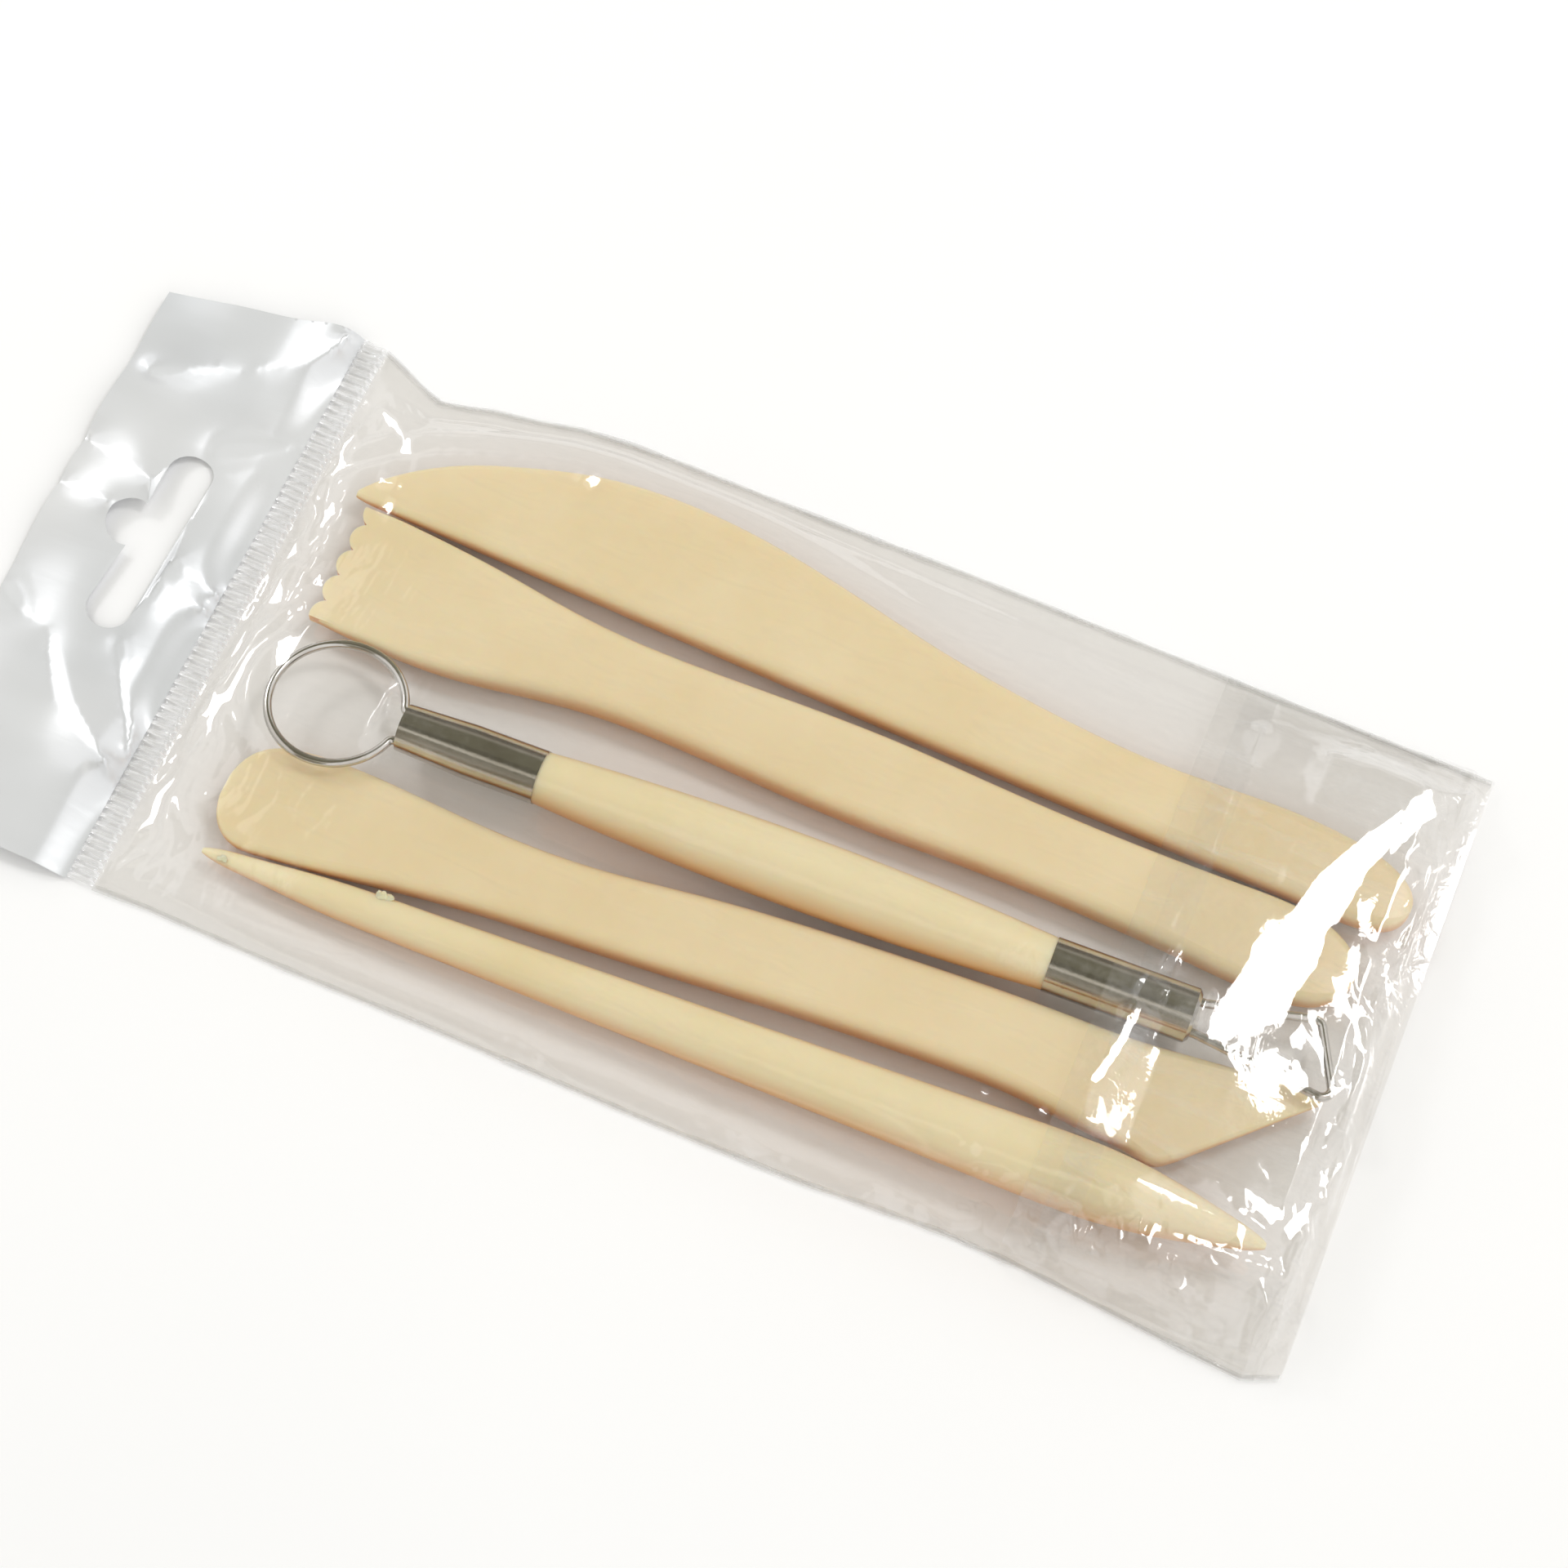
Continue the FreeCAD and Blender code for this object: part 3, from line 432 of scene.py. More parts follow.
def smooth_piece(name, mesh):
    """A smooth-shaded object with that mesh, in the scene."""
    mesh.polygons.foreach_set("use_smooth", [True] * len(mesh.polygons))
    mesh.update()
    return new_object(name, mesh)


def grid_mesh(name, points):
    """A piece of one layer, facing up, from a grid of points in mm."""
    nu, nv = points.shape[:2]
    index = np.arange(nu * nv).reshape(nu, nv)
    quads = np.stack([index[:-1, :-1], index[1:, :-1], index[1:, 1:], index[:-1, 1:]], -1).reshape(-1, 4)
    if points[-1, 0, 0] < points[0, 0, 0]:
        quads = quads[:, ::-1]
    mesh = bpy.data.meshes.new(name)
    mesh.from_pydata(rows(points.reshape(-1, 3)).tolist(), [], quads.tolist())
    return smooth_piece(name, mesh)


def smooth_noise(nu, nv, cell, seed):
    """Seeded noise over a grid, cell grid steps a lump, about -1 to 1."""
    rng = np.random.default_rng(seed)
    cu, cv = max(2, int(nu / cell) + 2), max(2, int(nv / cell) + 2)
    coarse = rng.uniform(-1, 1, (cu, cv))
    u, v = np.linspace(0, last_index(cu), nu), np.linspace(0, last_index(cv), nv)
    return bilinear(coarse, u[:, None], v[None, :], soft=True)


# Seam lines of the pouch as measured, x and y in mm, and the fold line at the mouth, y and x.
FAR_SEAM = [(-1.5, 87.2), (2, 86.9), (6, 85.2), (10, 83.4), (12.5, 82.5), (16, 83.3), (20, 84.3), (26, 85.2),
            (32, 86.5), (40, 87.3), (60, 87.2), (90, 87.3), (120, 87.0), (150, 86.8), (164.6, 86.6)]
NEAR_SEAM = [(-1.5, -0.4), (10, 0.0), (30, -0.3), (50, -0.1), (80, -0.3), (100, 0.0), (110, 0.6), (120, 1.1),
             (130, 0.9), (140, 0.2), (150, -0.6), (160, -1.3), (164.6, 0.6)]
FOLD_LINE = [(0.6, 164.6), (10, 164.7), (25, 164.3), (50, 163.7), (70, 163.8), (80, 164.2), (86.6, 164.7)]
# Height of the front film's free edge at the mouth, y and z.
MOUTH_HEIGHTS = [(-2, 0.5), (1, 0.6), (8, 1.5), (18, 2.2), (22, 4.4), (31, 4.6), (37, 2.6), (60, 2.2),
                 (78, 1.6), (86, 0.7), (90, 0.6)]
# Where the weld begins and ends, the front film ends, and the flap ends, along x.
WELD_OUT, WELD_IN, MOUTH_X, FLAP_EDGE = -1.5, 2.3, 161.6, 127.0
TAPE_FROM, TAPE_TO = 129.9, 134.5
SEAM_Z = 0.35
# The weld's ribs, from one to the next, in metres.
RIB_PITCH = 0.0013
# The front film keeps this far over the tools and over the table, and the flap over the front film and the
# table, and they stay below these.
TOOL_GAP, TABLE_GAP = 0.35, 0.45
FLAP_GAP, FLAP_TABLE_GAP = 0.25, 0.55
FRONT_TOP, FLAP_TOP = 11.3, 11.8
# Both are lifted this far round the big facet, so that it can turn.
FACET_LIFT = 0.8


def curve(line, at):
    """A measured line's value at those places."""
    first, second = np.array(line).T
    return np.interp(at, first, second)


def shares(nu, nv):
    """How far along and how far across each point of a grid is, 0 to 1."""
    return np.meshgrid(np.linspace(0, 1, nu), np.linspace(0, 1, nv), indexing="ij")


def between(near_line, far_line, x, across):
    """y at that share of the way from one line to the other."""
    near, far = curve(near_line, x), curve(far_line, x)
    return near + (far - near) * across


def ramp_up(value, low, length):
    """0 up to low, rising straight to 1 over that length, which may be negative."""
    return np.clip((value - low) / length, 0, 1)


def relaxed(z, low, fixed, rounds):
    """The lowest smooth tent over low with the fixed points kept."""
    for _ in range(rounds):
        mean = z.copy()
        mean[1:-1, 1:-1] = (z[2:, 1:-1] + z[:-2, 1:-1] + z[1:-1, 2:] + z[1:-1, :-2]) / 4
        z = np.where(fixed, z, np.maximum(low, mean))
    return z


def settled(points, fixed, under, over, slack, steps):
    """The grid settled as film that is slack by that share."""
    film = Film(points, np.where(fixed, 0.0, 1.0), slack)
    film.settle(steps, under, over)
    return film.p


def bump_at(x, centre, width):
    """1 at the centre, falling away over that width."""
    return np.exp(-(((x - centre) / width) ** 2))


def inside(x, y, corners):
    """Even-odd test of points against a polygon."""
    found = np.zeros(x.shape, bool)
    for (xa, ya), (xb, yb) in zip(corners, corners[1:] + corners[:1]):
        if ya != yb:
            found ^= ((ya > y) != (yb > y)) & (x < (xb - xa) * (y - ya) / (yb - ya) + xa)
    return found


def on_line(x, y, line, half):
    """Whether points are within half mm of a polyline, less towards its ends."""
    best = np.full(x.shape, np.inf)
    total = sum(math.dist(a, b) for a, b in zip(line, line[1:]))
    done = 0.0
    for (xa, ya), (xb, yb) in zip(line, line[1:]):
        size = math.dist((xa, ya), (xb, yb))
        t = np.clip(((x - xa) * (xb - xa) + (y - ya) * (yb - ya)) / size ** 2, 0, 1)
        far = np.hypot(x - xa - t * (xb - xa), y - ya - t * (yb - ya))
        share = (done + t * size) / total
        taper = np.sqrt(np.clip(4 * share * (1 - share), 0.02, 1))
        best = np.minimum(best, far / (half * taper))
        done += size
    return best < 1


def glancing(points, lamp):
    """Slopes dz/dx and dz/dy that mirror the lamp into the camera, at each point."""
    seen, lit = EYE - points, lamp - points
    half = seen / np.linalg.norm(seen, axis=-1, keepdims=True)
    half = half + lit / np.linalg.norm(lit, axis=-1, keepdims=True)
    return -half[..., 0] / half[..., 2], -half[..., 1] / half[..., 2]


# For creased: how firmly a point keeps its height and a turned link its slope, where any other link has 1.
HOLD, STIFF = 0.003, 150.0
# The slope of a level area along x, and the lift and grip where film would sink into a tool.
LEVEL_SLOPE, CONTACT_LIFT, CONTACT_GRIP = 0.02, 0.12, 0.6
# How often contact is looked for, the solver's steps each time, and what keeps it from dividing by nothing.
CONTACT_ROUNDS, GRADIENT_STEPS, TINY = 5, 220, 1e-12


def creased(points, marks, lamp, fixed, low, level=()):
    """The grid with facets and creases turned so that they mirror the lamp into the camera.

    Marks are (corners, None) for a facet and (line, half width) for a crease. Heights are solved again from
    the slopes, by conjugate gradients, so that the film stays one sheet and gives way round each facet.
    Areas in level are laid flat, apart from the marks."""
    p = points.copy()
    x, y, z = p[..., 0], p[..., 1], p[..., 2].copy()
    hit, flat = np.zeros(x.shape, bool), np.zeros(x.shape, bool)
    for shape, half in marks:
        hit |= inside(x, y, shape) if half is None else on_line(x, y, shape, half)
    for shape in level:
        flat |= inside(x, y, shape) & ~hit
    ax, ay = glancing(p, lamp)
    ax, ay = np.where(flat, LEVEL_SLOPE, ax), np.where(flat, 0.0, ay)
    turned = hit | flat

    def wanted(axis, after, before):
        """Rise from each point to the next along that axis, and how firmly it is kept."""
        both = turned[after] & turned[before]
        rise = (np.diff(x, axis=axis) * (ax[after] + ax[before]) / 2
                + np.diff(y, axis=axis) * (ay[after] + ay[before]) / 2)
        return np.where(both, rise, np.diff(z, axis=axis)), np.where(both, STIFF, 1.0)

    gx, wx = wanted(0, np.s_[1:], np.s_[:-1])
    gy, wy = wanted(1, np.s_[:, 1:], np.s_[:, :-1])
    rest, grip = z.copy(), np.full(z.shape, HOLD)
    ties = np.zeros(z.shape)
    ties[:-1] += wx
    ties[1:] += wx
    ties[:, :-1] += wy
    ties[:, 1:] += wy

    def pull(h, slope_x, slope_y, to):
        """Force on each point of heights h, towards those slopes and rest heights."""
        dx, dy = wx * (np.diff(h, axis=0) - slope_x), wy * (np.diff(h, axis=1) - slope_y)
        force = grip * (to - h)
        force[:-1] += dx
        force[1:] -= dx
        force[:, :-1] += dy
        force[:, 1:] -= dy
        return np.where(fixed, 0.0, force)

    for _ in range(CONTACT_ROUNDS):
        force = pull(z, gx, gy, rest)
        way = force / (ties + grip)
        size = (force * way).sum()
        for _ in range(GRADIENT_STEPS):
            back = -pull(way, 0.0, 0.0, 0.0)
            reach = size / max((way * back).sum(), TINY)
            z = z + reach * way
            force = force - reach * back
            ready = force / (ties + grip)
            size, before = (force * ready).sum(), size
            way = ready + way * (size / max(before, TINY))
        under = (z < low) & ~fixed
        rest, grip = np.where(under, low + CONTACT_LIFT, rest), np.where(under, CONTACT_GRIP, grip)
    p[..., 2] = np.where(fixed, z, np.maximum(low, z))
    return p


def as_piece(piece, body, nodes, look):
    """Give a piece its look and body, and hide the CAD nodes that it replaces."""
    piece.data.materials.append(look)
    if body:
        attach(piece, body)
    if nodes:
        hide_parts(*nodes)
    return piece


def rounded(piece):
    """Give a piece one level of subdivision."""
    modifier = piece.modifiers.new("round", "SUBSURF")
    modifier.levels = modifier.render_levels = 1
    return piece


def border(nu, nv, sides=True, first=True, last=True):
    """Which points of a grid are on its edges: its sides, its first row and its last row."""
    edge = np.zeros((nu, nv), bool)
    edge[:, [0, -1]] = sides
    edge[0] |= first
    edge[-1] |= last
    return edge


# ------------------------------------------------------------------ glints, as measured, in mm
# Each is the corners of a facet and None, or the line of a crease and its half width.
WELD_MARKS = [
    ([(5.5, 77.3), (9, 75.5), (11.5, 73.5)], 0.85), ([(11.5, 73.7), (14, 70), (14.6, 69.2)], 0.95),
    ([(9.5, 66.6), (12, 66.2), (14.4, 66.4)], 0.66), ([(12.5, 62.5), (14.3, 63.4), (15.5, 62.3)], 0.76),
    ([(7.6, 22), (7.0, 27), (7.6, 32), (7.2, 37.5)], 0.76), ([(5.0, 24.5), (6.4, 27), (5.2, 30)], 0.76),
    ([(4.0, 50), (5.2, 52.6), (4.3, 55)], 0.76), ([(6.5, 56), (7.5, 58.5), (6.6, 61)], 0.66),
    ([(3.6, 64), (5.2, 66.5), (4.0, 70), (5.0, 73)], 0.66), ([(5.5, 43), (6.6, 45.2), (5.6, 47.8)], 0.76),
    ([(4.4, 8), (5.4, 11), (4.6, 14.4), (5.6, 18)], 0.85), ([(3.4, 34), (4.4, 37), (3.6, 41)], 0.66),
    ([(8.6, 53.5), (9.4, 54.4)], 0.57), ([(9.6, 58), (10.4, 57.4)], 0.57)]
NEAR_MARKS = [
    ([(38.2, 75.6), (40.2, 77.8), (39.0, 79.0), (37.2, 78.6), (36.2, 76.6)], None),
    ([(118, 9.5), (122, 11.6), (125, 9.0), (127.4, 11)], 0.68),
    ([(127.5, 9.4), (129, 4.9), (130, 3.4)], 0.85),
    ([(121, 2.6), (126, 2.2), (131, 2.9)], 0.59), ([(112, 3.0), (117, 2.2)], 0.51),
    ([(86, 2.2), (92, 1.6), (98, 2.4)], 0.42), ([(60, 2.0), (68, 1.5)], 0.42)]
BIG_GLARE = [(154, 74.5), (149.5, 67), (147, 62), (145.4, 56), (144, 50.5), (142.3, 50), (142.6, 46.5),
             (141.6, 43), (140.2, 37.5), (141, 34.5), (143.6, 36.6), (146, 37), (147.4, 39.6), (149.5, 41),
             (149.6, 45.6), (151, 50), (150.6, 55), (152, 60), (152.4, 65), (154.5, 70)]
# Areas that are level: over the ring, at the flat tools' ends, over the spatula's blade.
LEVEL_RING = [(13, 30), (27, 30), (27, 43), (13, 43)]
LEVEL_END = [(143, 56), (157, 56), (157, 79), (143, 79)]
LEVEL_BLADE = [(136, 18), (157.5, 18), (157.5, 54), (136, 54)]
MOUTH_MARKS = [
    (BIG_GLARE, None),
    ([(154.5, 76.5), (158.5, 79.6), (162.5, 81), (161.2, 79), (160, 77), (157, 73.6), (154.5, 68)], None),
    ([(152, 62), (154.6, 57.6), (155.4, 53), (157.4, 50)], 0.68),
    ([(155.4, 58), (158.6, 54.4), (160.6, 49)], 0.54),
    ([(152.6, 49.5), (155.6, 46.6), (157.6, 44.6), (160.4, 41)], 0.61),
    ([(153.6, 54), (157.4, 48.6), (161, 45.6)], 0.47),
    ([(151.4, 44), (154.4, 40.4), (156.6, 36)], 0.54), ([(157.6, 60), (159, 57), (161.6, 55.6)], 0.41),
    ([(152, 36), (156, 34.2), (160, 31), (162, 27), (161.4, 24.6), (160, 22.5)], 0.61),
    ([(147.4, 35.4), (149.6, 33.6), (152.6, 34.6), (155.6, 34.4)], 0.74),
    ([(157.6, 16), (159, 19.5), (160.6, 21.6), (160.4, 17), (159, 14.6)], None),
    ([(151.5, 18.6), (155, 17), (158, 17.6)], 0.47), ([(156.6, 12), (158, 8.4), (159.6, 6)], 0.47),
    ([(161.5, 4.5), (160.6, 9), (161.6, 14)], 0.41), ([(149, 5.4), (153, 3.6), (157, 4.4)], 0.47),
    ([(133.2, 9.6), (134.6, 5.6), (135.8, 3.6)], 0.54), ([(137.6, 11), (139.6, 8.4), (140.6, 4.6)], 0.61),
    ([(143.6, 2.4), (148.6, 0.9), (152.6, 1.4)], 0.41), ([(131, 2.4), (137, 1.7), (141, 2.6)], 0.47),
    ([(129, 23), (130.4, 28), (130.6, 33), (131.8, 38), (132.6, 43), (133.6, 45.6), (133.2, 41), (132.8, 35),
      (132, 29), (131, 23.5)], None),
    ([(132.6, 46), (133, 56), (133.4, 68), (133.6, 80)], 0.3),
    ([(153, 83.2), (157.4, 84.4), (161, 84)], 0.47), ([(143, 82.4), (149, 83.4)], 0.41)]
HEADER_MARKS = [
    ([(-29, 57.5), (-23, 56.2), (-17, 54.5)], 0.62), ([(-29.5, 50.2), (-25, 50.3), (-21, 49.3)], 0.62),
    ([(-14, 75.5), (-8, 79.6), (-2.5, 85.5)], 0.69), ([(-9, 77.5), (-6, 80), (-3, 84)], 0.56),
    ([(-12, 63), (-6, 66.4), (-0.5, 69)], 0.62), ([(-10, 46), (-6, 44.8), (-1.8, 43)], 0.62),
    ([(-10.4, 42.2), (-5, 41.6), (-1.8, 40.6), (-5, 39.6), (-10, 39)], None),
    ([(-11, 32.5), (-7, 26.4), (-3.6, 21.6), (-1.8, 18)], 0.75),
    ([(-21, 31), (-18.6, 26.6), (-15.6, 22.4), (-12, 19), (-7, 16.2), (-1.8, 14), (-6, 17.6), (-11, 21.4),
      (-15, 25.6), (-18, 29)], None),
    ([(-28.5, 34), (-24, 31), (-20, 30.5)], 0.62), ([(-27, 70.5), (-18, 74.6), (-13, 75.8)], 0.5)]


def scratches(count, low, high, seed, lean):
    """Short fine creases strewn over a box, leaning that way in degrees give or take 35."""
    rng = np.random.default_rng(seed)
    found = []
    for _ in range(count):
        x, y = rng.uniform(low, high)
        reach, way = rng.uniform(0.9, 2.6), math.radians(lean + rng.uniform(-35, 35))
        bend = rng.uniform(-0.5, 0.5)
        dx, dy = reach * math.cos(way), reach * math.sin(way)
        line = [(x - dx, y - dy), (x - bend * dy, y + bend * dx), (x + dx, y + dy)]
        found.append((line, rng.uniform(0.32, 0.6)))
    return found


# ------------------------------------------------------------------ pieces
def make_front(tools):
    """The front film: a tent over the tools, settled, then creased."""
    nu, nv = 300, 160
    along, across = shares(nu, nv)
    # rows lie closer together at both ends, where the creases are finest
    bunching = 0.07
    x = WELD_IN + (MOUTH_X - WELD_IN) * (along - bunching * np.sin(2 * np.pi * along))
    y = between(NEAR_SEAM, FAR_SEAM, x, across)
    low = np.maximum(look_up(tools, x, y) + TOOL_GAP, TABLE_GAP)
    fixed = border(nu, nv)
    z = np.maximum(low, 0.4 + 6.0 * np.sin(np.pi * across) ** 0.5)
    z[:, 0] = z[:, -1] = z[0] = SEAM_Z
    z[-1] = curve(MOUTH_HEIGHTS, y[-1])
    wide = np.maximum(spread(tools, -2.5, 2.5, across=5) + TOOL_GAP, TABLE_GAP)
    tent = np.minimum(look_up(wide, x, y), FRONT_TOP - 0.4)
    z = relaxed(z, np.where(fixed, low, np.maximum(low, tent)), fixed, rounds=1500)
    z[1:-1, 1:-1] += 0.05 * np.abs(smooth_noise(nu, nv, cell=9, seed=3))[1:-1, 1:-1]
    under = np.maximum(tools + TOOL_GAP, TABLE_GAP)
    # slacker beside the weld, at the mouth and along the near seam
    slack = (0.0004 + 0.012 * bump_at(x, 3.0, 8.0) + 0.006 * bump_at(x, 165.0, 12.0)
             + 0.003 * bump_at(y, 2.0, 5.0))
    p = settled(np.stack([x, y, z], -1), fixed, under, FRONT_TOP, slack, steps=160)
    low = look_up(under, p[..., 0], p[..., 1])
    p = creased(p, WELD_MARKS, LAMPS["fill"], fixed, low, [LEVEL_RING])
    lift = ramp_up(x, 141, 6) * ramp_up(x, 160.5, -3) * ramp_up(y, 50, 6) * ramp_up(y, 84, -5)
    p[..., 2] += FACET_LIFT * eased(lift)
    marks = NEAR_MARKS + scratches(9, (118, 1.5), (134, 9), seed=63, lean=60)
    marks += scratches(5, (96, 1.5), (118, 3.5), seed=64, lean=10) + [(BIG_GLARE, None)]
    return creased(p, marks, LAMPS["key"], fixed, low, [LEVEL_END, LEVEL_BLADE])


def make_flap(front_mesh):
    """The closure flap: one sheet from the fold line at the mouth back over the front film."""
    nu, nv = 124, 240
    along, across = shares(nu, nv)
    fold = curve(FOLD_LINE, 0.6 + 86.0 * across)
    x = fold + (FLAP_EDGE - fold) * along ** 1.15
    y = between(NEAR_SEAM, FAR_SEAM, x, across)
    y = y + (0.45 - 0.9 * across) * ramp_up(x, 164.4, -2)
    under = np.maximum(surface_map([front_mesh]) + FLAP_GAP, FLAP_TABLE_GAP)
    low = look_up(under, x, y)
    # past the front film's end the flap turns down to the fold line
    turn_x = MOUTH_X - 0.4
    rise = ramp_up(x, fold, -2.9)
    turn = SEAM_Z + (curve(MOUTH_HEIGHTS, y) + 0.3 - SEAM_Z) * np.sin(rise * np.pi / 2) ** 1.2
    low = np.where(x > turn_x, turn, low)
    hem = border(nu, nv, sides=False, last=False)
    fixed = hem | ((x > TAPE_FROM) & (x < TAPE_TO))
    z = relaxed(low.copy(), low, hem, rounds=40)
    z = np.where(fixed, z, z + 0.05 * np.abs(smooth_noise(nu, nv, cell=8, seed=11)))
    slack = 0.0003 + 0.008 * bump_at(x, 160.0, 7.0)
    p = settled(np.stack([x, y, z], -1), fixed, under, FLAP_TOP, slack, steps=100)
    low = np.maximum(look_up(under, p[..., 0], p[..., 1]), SEAM_Z)
    low = np.where(p[..., 0] > turn_x, np.minimum(p[..., 2], low), low)
    loose = ramp_up(x, 134, 12) * ramp_up(x, 163, -3) * np.sin(np.pi * across) ** 0.3
    p[..., 2] += FACET_LIFT * eased(loose)
    marks = MOUTH_MARKS + scratches(26, (151.5, 8), (161.5, 66), seed=61, lean=110)
    marks += scratches(9, (134, 2), (150, 11), seed=62, lean=100)
    return creased(p, marks, LAMPS["key"], hem, low, [LEVEL_END])


def make_rear():
    """The rear film: nearly flat on the table, joined to the seams all round."""
    nu, nv = 110, 60
    along, across = shares(nu, nv)
    x = WELD_IN + (164.5 - WELD_IN) * along
    z = 0.22 + 0.10 * smooth_noise(nu, nv, cell=12, seed=21)
    z[border(nu, nv)] = SEAM_Z - 0.1
    return np.stack([x, between(NEAR_SEAM, FAR_SEAM, x, across), z], -1)


def make_weld():
    """The crimped weld between pouch and header, with ribs along x."""
    nu, nv = 16, 520
    along, across = shares(nu, nv)
    x = WELD_OUT + (WELD_IN - WELD_OUT) * along
    y = between(NEAR_SEAM, FAR_SEAM, x, across)
    band = np.clip(np.minimum(along, 1 - along) * 7, 0, 1) ** 0.7
    wander = 0.12 * smooth_noise(nu, nv, cell=9, seed=31)
    ribs = np.abs(np.sin(np.pi * (y + wander) / (RIB_PITCH / MM))) ** 0.8
    size = 0.55 + 0.16 * smooth_noise(nu, nv, cell=14, seed=33) + 0.30 * along
    return np.stack([x, y, SEAM_Z + band * ribs * size - 0.02], -1)


def make_bead(line, side):
    """A side seam: a thin wavy bead of melted film, closed round, along the seam line."""
    nu, nv = 260, 9
    x = np.linspace(WELD_IN, 164.3, nu)[:, None] * np.ones((1, nv))
    turn = np.linspace(0, 2 * np.pi, nv) * np.ones((nu, 1))
    # as the melt wanders along x only, one column of noise serves all round
    wide = 0.38 + 0.10 * smooth_noise(nu, 2, cell=5, seed=41 + side)[:, :1]
    y = curve(line, x) + side * (-0.15 + wide * np.cos(turn))
    return np.stack([x, y, 0.27 + 0.15 * np.sin(turn)], -1)


# The header's outer edge along x, and its side edges, x and y.
HEADER_OUT = -29.2
HEADER_FAR = [(-29.2, 82.4), (-28, 82.6), (-22, 83.6), (-12, 85.5), (-1.5, 87.2)]
HEADER_NEAR = [(-29.2, 1.2), (-20, 0.6), (-12, -0.4), (-1.5, -0.4)]


def header_grid():
    """The header, waving more towards its free outer edge, then creased."""
    nu, nv = 70, 200
    along, across = shares(nu, nv)
    x = HEADER_OUT + (WELD_OUT - HEADER_OUT) * along
    y = between(HEADER_NEAR, HEADER_FAR, x, across)
    free = 1 - along
    waves = 0.9 * np.sin(y / 9.0 + 0.7 * np.sin(x / 7.0)) + 0.2 * np.sin(y / 5.2 + x / 9)
    z = SEAM_Z + free ** 1.3 * (1.6 + waves)
    z += 0.35 * smooth_noise(nu, nv, cell=30, seed=51) * np.clip(free * 3, 0, 1)
    # puffed up beside the weld and curled up along the near edge
    z += 1.1 * eased(ramp_up(x, WELD_OUT, -5.0))
    z += 1.6 * free * bump_at(y, curve(HEADER_NEAR, x), 6.0)
    z[-1] = SEAM_Z
    p = np.stack([x, y, z], -1)
    fixed = border(nu, nv, sides=False, first=False)
    return creased(p, HEADER_MARKS, LAMPS["fill"], fixed, np.full(x.shape, 0.3))


def arc(x, y, radius, start, end):
    """Points round an arc, from angle to angle."""
    steps = 24
    angles = [start + (end - start) * k / steps for k in range(steps + 1)]
    return [(x + radius * math.cos(a), y + radius * math.sin(a)) for a in angles]


def slot_outline():
    """The hanging slot: a long round-ended slot with a round notch on its outer side."""
    x, y, half, radius = -13.4, 47.0, 10.9, 3.1
    notch_x, notch_y, notch_r = -17.4, 48.3, 3.4
    edge = x - radius - notch_x
    start = math.atan2(math.sqrt(notch_r ** 2 - edge ** 2), edge)
    return (arc(x, y + half, radius, 0, math.pi)
            + arc(notch_x, notch_y, notch_r, start, 2 * math.pi - start)
            + arc(x - 0.9, y - half, radius, math.pi, 2 * math.pi))


def make_header():
    """The header's grid cut out round the slot and triangulated."""
    grid = header_grid()
    nu, nv = grid.shape[:2]
    x, y = grid[..., 0], grid[..., 1]
    hole = slot_outline()
    inner = ~on_line(x, y, hole + hole[:1], 0.35) & ~inside(x, y, hole) & ~border(nu, nv)
    outer = ([(0, j) for j in range(nv)] + [(i, nv - 1) for i in range(1, nu)]
             + [(nu - 1, j) for j in range(nv - 2, -1, -1)] + [(i, 0) for i in range(nu - 2, 0, -1)])
    rim = [(x[i, j], y[i, j]) for i, j in outer]
    points = [Vector(p) for p in rim + hole] + [Vector(p) for p in zip(x[inner], y[inner])]
    n, m = len(rim), len(hole)
    edges = [(k, (k + 1) % n) for k in range(n)] + [(n + k, n + (k + 1) % m) for k in range(m)]
    flat, _, found = delaunay_2d_cdt(points, edges, [], 0, 1e-5)[:3]
    middle = np.array([sum((flat[k] for k in face), Vector((0, 0))) / len(face) for face in found])
    wanted = inside(middle[:, 0], middle[:, 1], rim) & ~inside(middle[:, 0], middle[:, 1], hole)
    faces = [face for face, good in zip(found, wanted) if good]
    used = sorted({k for face in faces for k in face})
    number = {k: order for order, k in enumerate(used)}
    # each point's height, from its place along and across the grid
    at = np.array([flat[k][:] for k in used])
    near, far = curve(HEADER_NEAR, at[:, 0]), curve(HEADER_FAR, at[:, 0])
    u = (at[:, 0] - HEADER_OUT) / (WELD_OUT - HEADER_OUT) * (nu - 1)
    v = (at[:, 1] - near) / (far - near) * (nv - 1)
    z = bilinear(grid[..., 2], np.clip(u, 0, last_index(nu)), np.clip(v, 0, last_index(nv)))
    faces = [[number[k] for k in face] for face in faces]
    mesh = bpy.data.meshes.new("header_sheet")
    mesh.from_pydata(rows(np.column_stack([at, z])).tolist(), [], faces)
    return smooth_piece("header_sheet", mesh)


def make_scrap(name, centre, size):
    """A torn scrap of moulding flash: a rough lump, in mm."""
    rough = bmesh.new()
    bmesh.ops.create_icosphere(rough, subdivisions=4, radius=1.0)
    for vertex in rough.verts:
        coarse = noise.noise(vertex.co * 1.3 + Vector(centre))
        lump = 1.0 + 0.55 * coarse + 0.18 * noise.noise(vertex.co * 4.0)
        vertex.co = place(*(c + s * v * lump for c, s, v in zip(centre, size, vertex.co)))
    mesh = bpy.data.meshes.new(name)
    rough.to_mesh(mesh)
    rough.free()
    return smooth_piece(name, mesh)


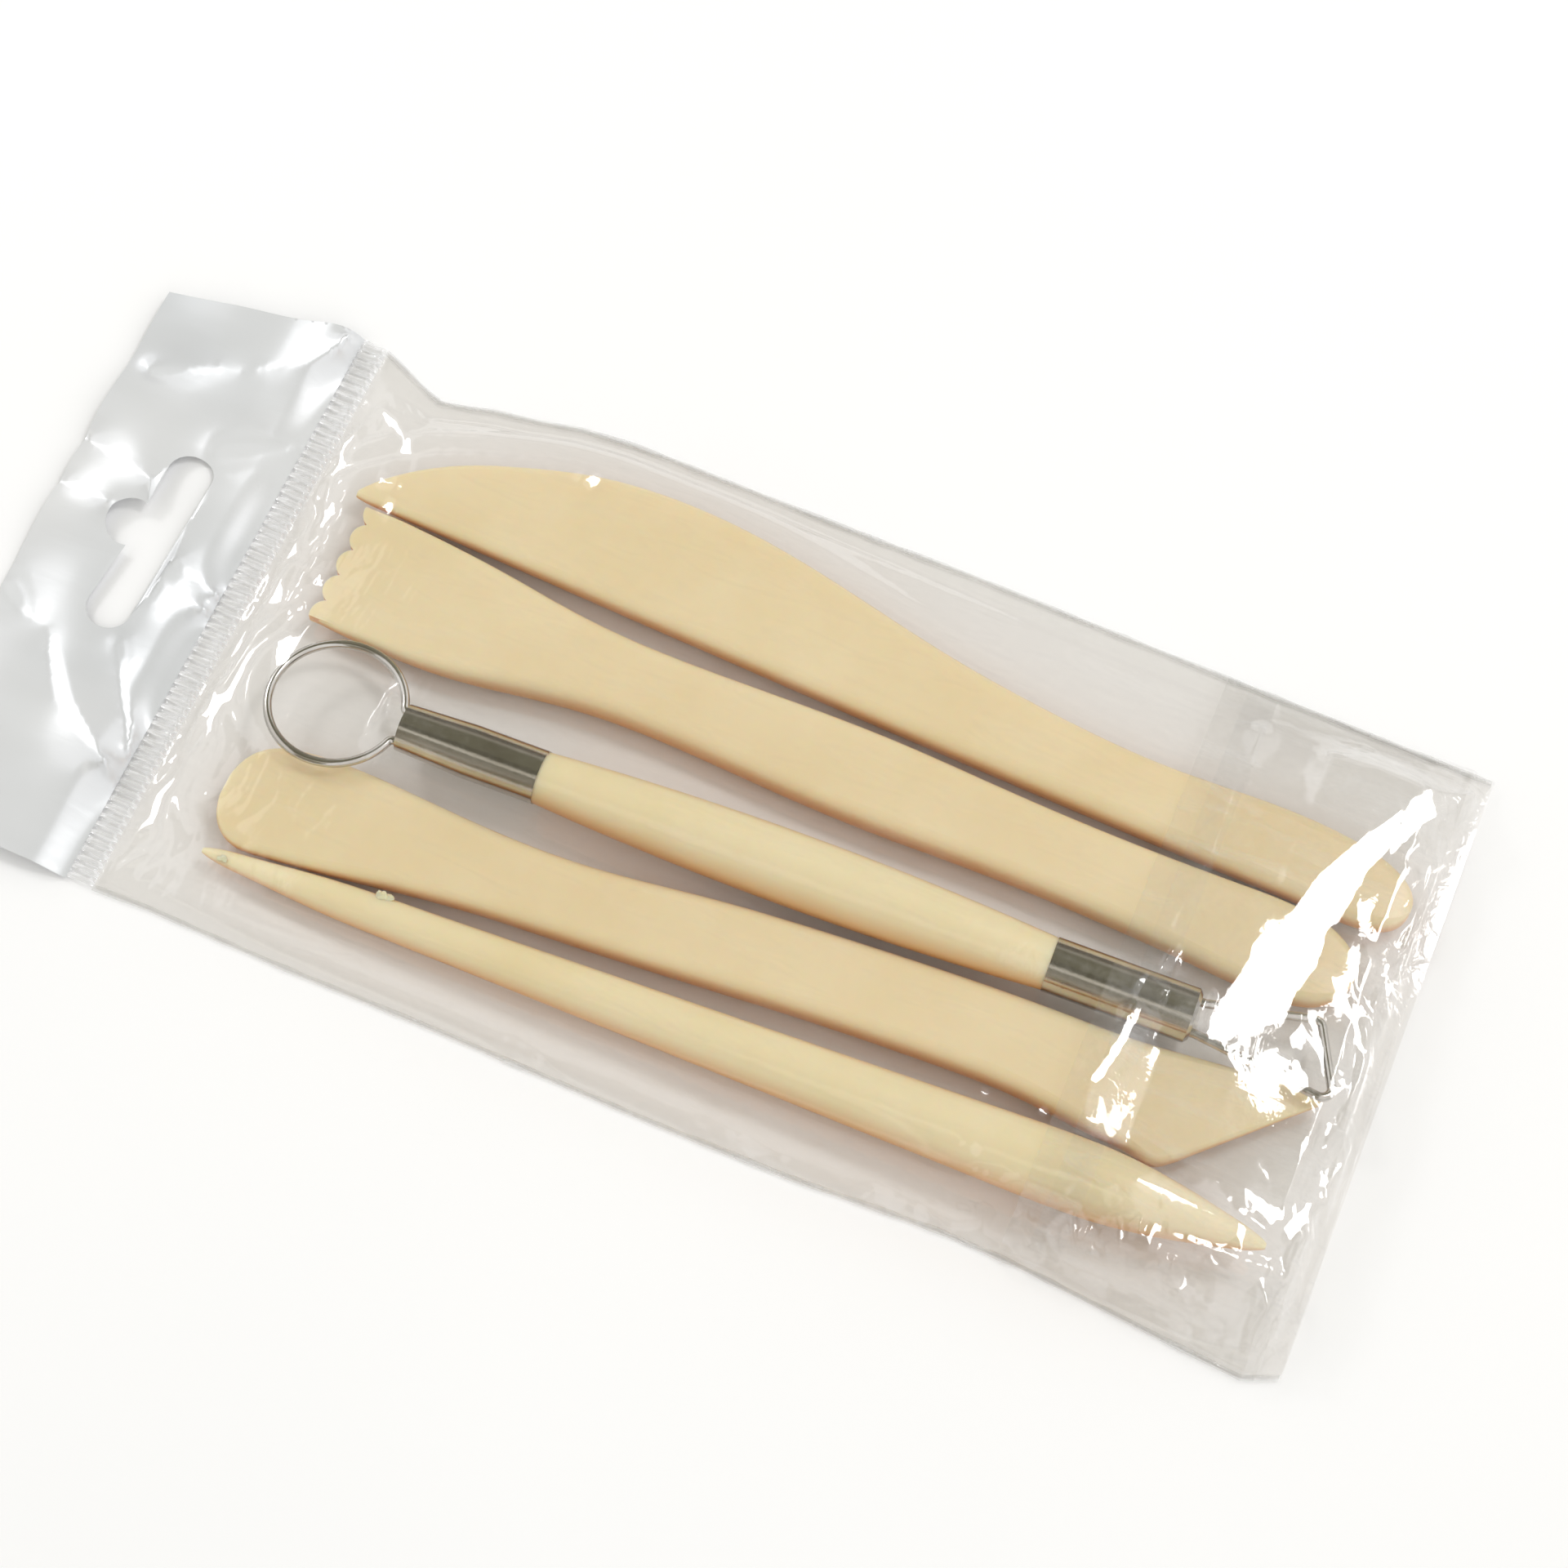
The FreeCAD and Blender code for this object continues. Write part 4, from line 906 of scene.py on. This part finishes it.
# ------------------------------------------------------------------ the scene
make_camera()
make_world()
make_stage()
bpy.context.scene.view_settings.view_transform = "Standard"
for name, softbox in SOFTBOXES.items():
    make_softbox(name + "_softbox", *softbox)

IVORY = ivory("ivory_plastic_look", (242, 225, 187), (236, 217, 174))
IVORY_ROUND = ivory("ivory_round_look", (243, 230, 193), (237, 222, 178))
# the plug's sides get a painted darker shade as well
PLUG = ivory("plug_resin_look", (120, 112, 100), (96, 88, 76), side=(90, 80, 66))
CHROME = chrome("chromed_metal_look")
FILM = clear_film("clear_film_look", (0.982, 0.979, 0.973), haze=0.015)
FLAP = clear_film("flap_film_look", (0.984, 0.980, 0.974), haze=0.045)
REAR = clear_film("rear_film_look", (0.955, 0.945, 0.932), haze=0.01)
# the weld's bright rib lines are painted highlights
WELD = clear_film("weld_look", (0.95, 0.95, 0.95), haze=0.20, gloss_gain=2.0, rib_pitch=RIB_PITCH)
BEAD = clear_film("seam_bead_look", (0.985, 0.985, 0.985), haze=0.22, fine=1.2, gloss_gain=1.2)
TAPE = clear_film("adhesive_tape_look", (1.0, 1.0, 1.0), haze=0.04, gloss_gain=0.3)
PEARL = pearl_film("pearl_film_look")
for node in NODES.values():
    node.data.materials.clear()
    if node.name.endswith("plug"):
        look = PLUG
    elif node.name in ("loop_tool_handle", "pointed_tool"):
        look = IVORY_ROUND
    elif any(word in node.name for word in ("ferrule", "ring_loop", "triangle_loop")):
        look = CHROME
    else:
        look = IVORY
    node.data.materials.append(look)

front = rounded(grid_mesh("front_film_sheet", make_front(tool_map())))
as_piece(front, "pouch", ["front_film"], FILM)

flap_grid = make_flap(front.data)
flap = rounded(grid_mesh("closure_flap_sheet", flap_grid))
as_piece(flap, None, ["closure_flap", "mouth_fold"], FLAP)
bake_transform(flap)

# the tape lies just under the flap, a few grid steps short of its sides
tape_rows = (flap_grid[:, 0, 0] > TAPE_FROM) & (flap_grid[:, 0, 0] < TAPE_TO)
tape = rounded(grid_mesh("adhesive_strip", flap_grid[tape_rows][:, 3:-3] - (0, 0, 0.1)))
as_piece(tape, "flap", ["adhesive_tape"], TAPE)

rear = rounded(grid_mesh("rear_film_sheet", make_rear()))
as_piece(rear, "pouch", ["rear_film"], REAR)

for name, centre, size in (("flash_scrap_long", (38.3, 12.3, 4.7), (1.1, 0.75, 0.55)),
                           ("flash_scrap_short", (16.8, 9.2, 3.35), (0.7, 0.5, 0.4))):
    as_piece(make_scrap(name, centre, size), "pointed", None, IVORY_ROUND)

as_piece(grid_mesh("crimped_weld", make_weld()), "pouch", ["header_seal"], WELD)
for end, line, side in (("near", NEAR_SEAM, -1), ("far", FAR_SEAM, 1)):
    as_piece(grid_mesh(end + "_seam_bead", make_bead(line, side)), "pouch", ["side_seam_" + end],
             BEAD)

header = as_piece(make_header(), None, ["hanging_header"], PEARL)
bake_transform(header)
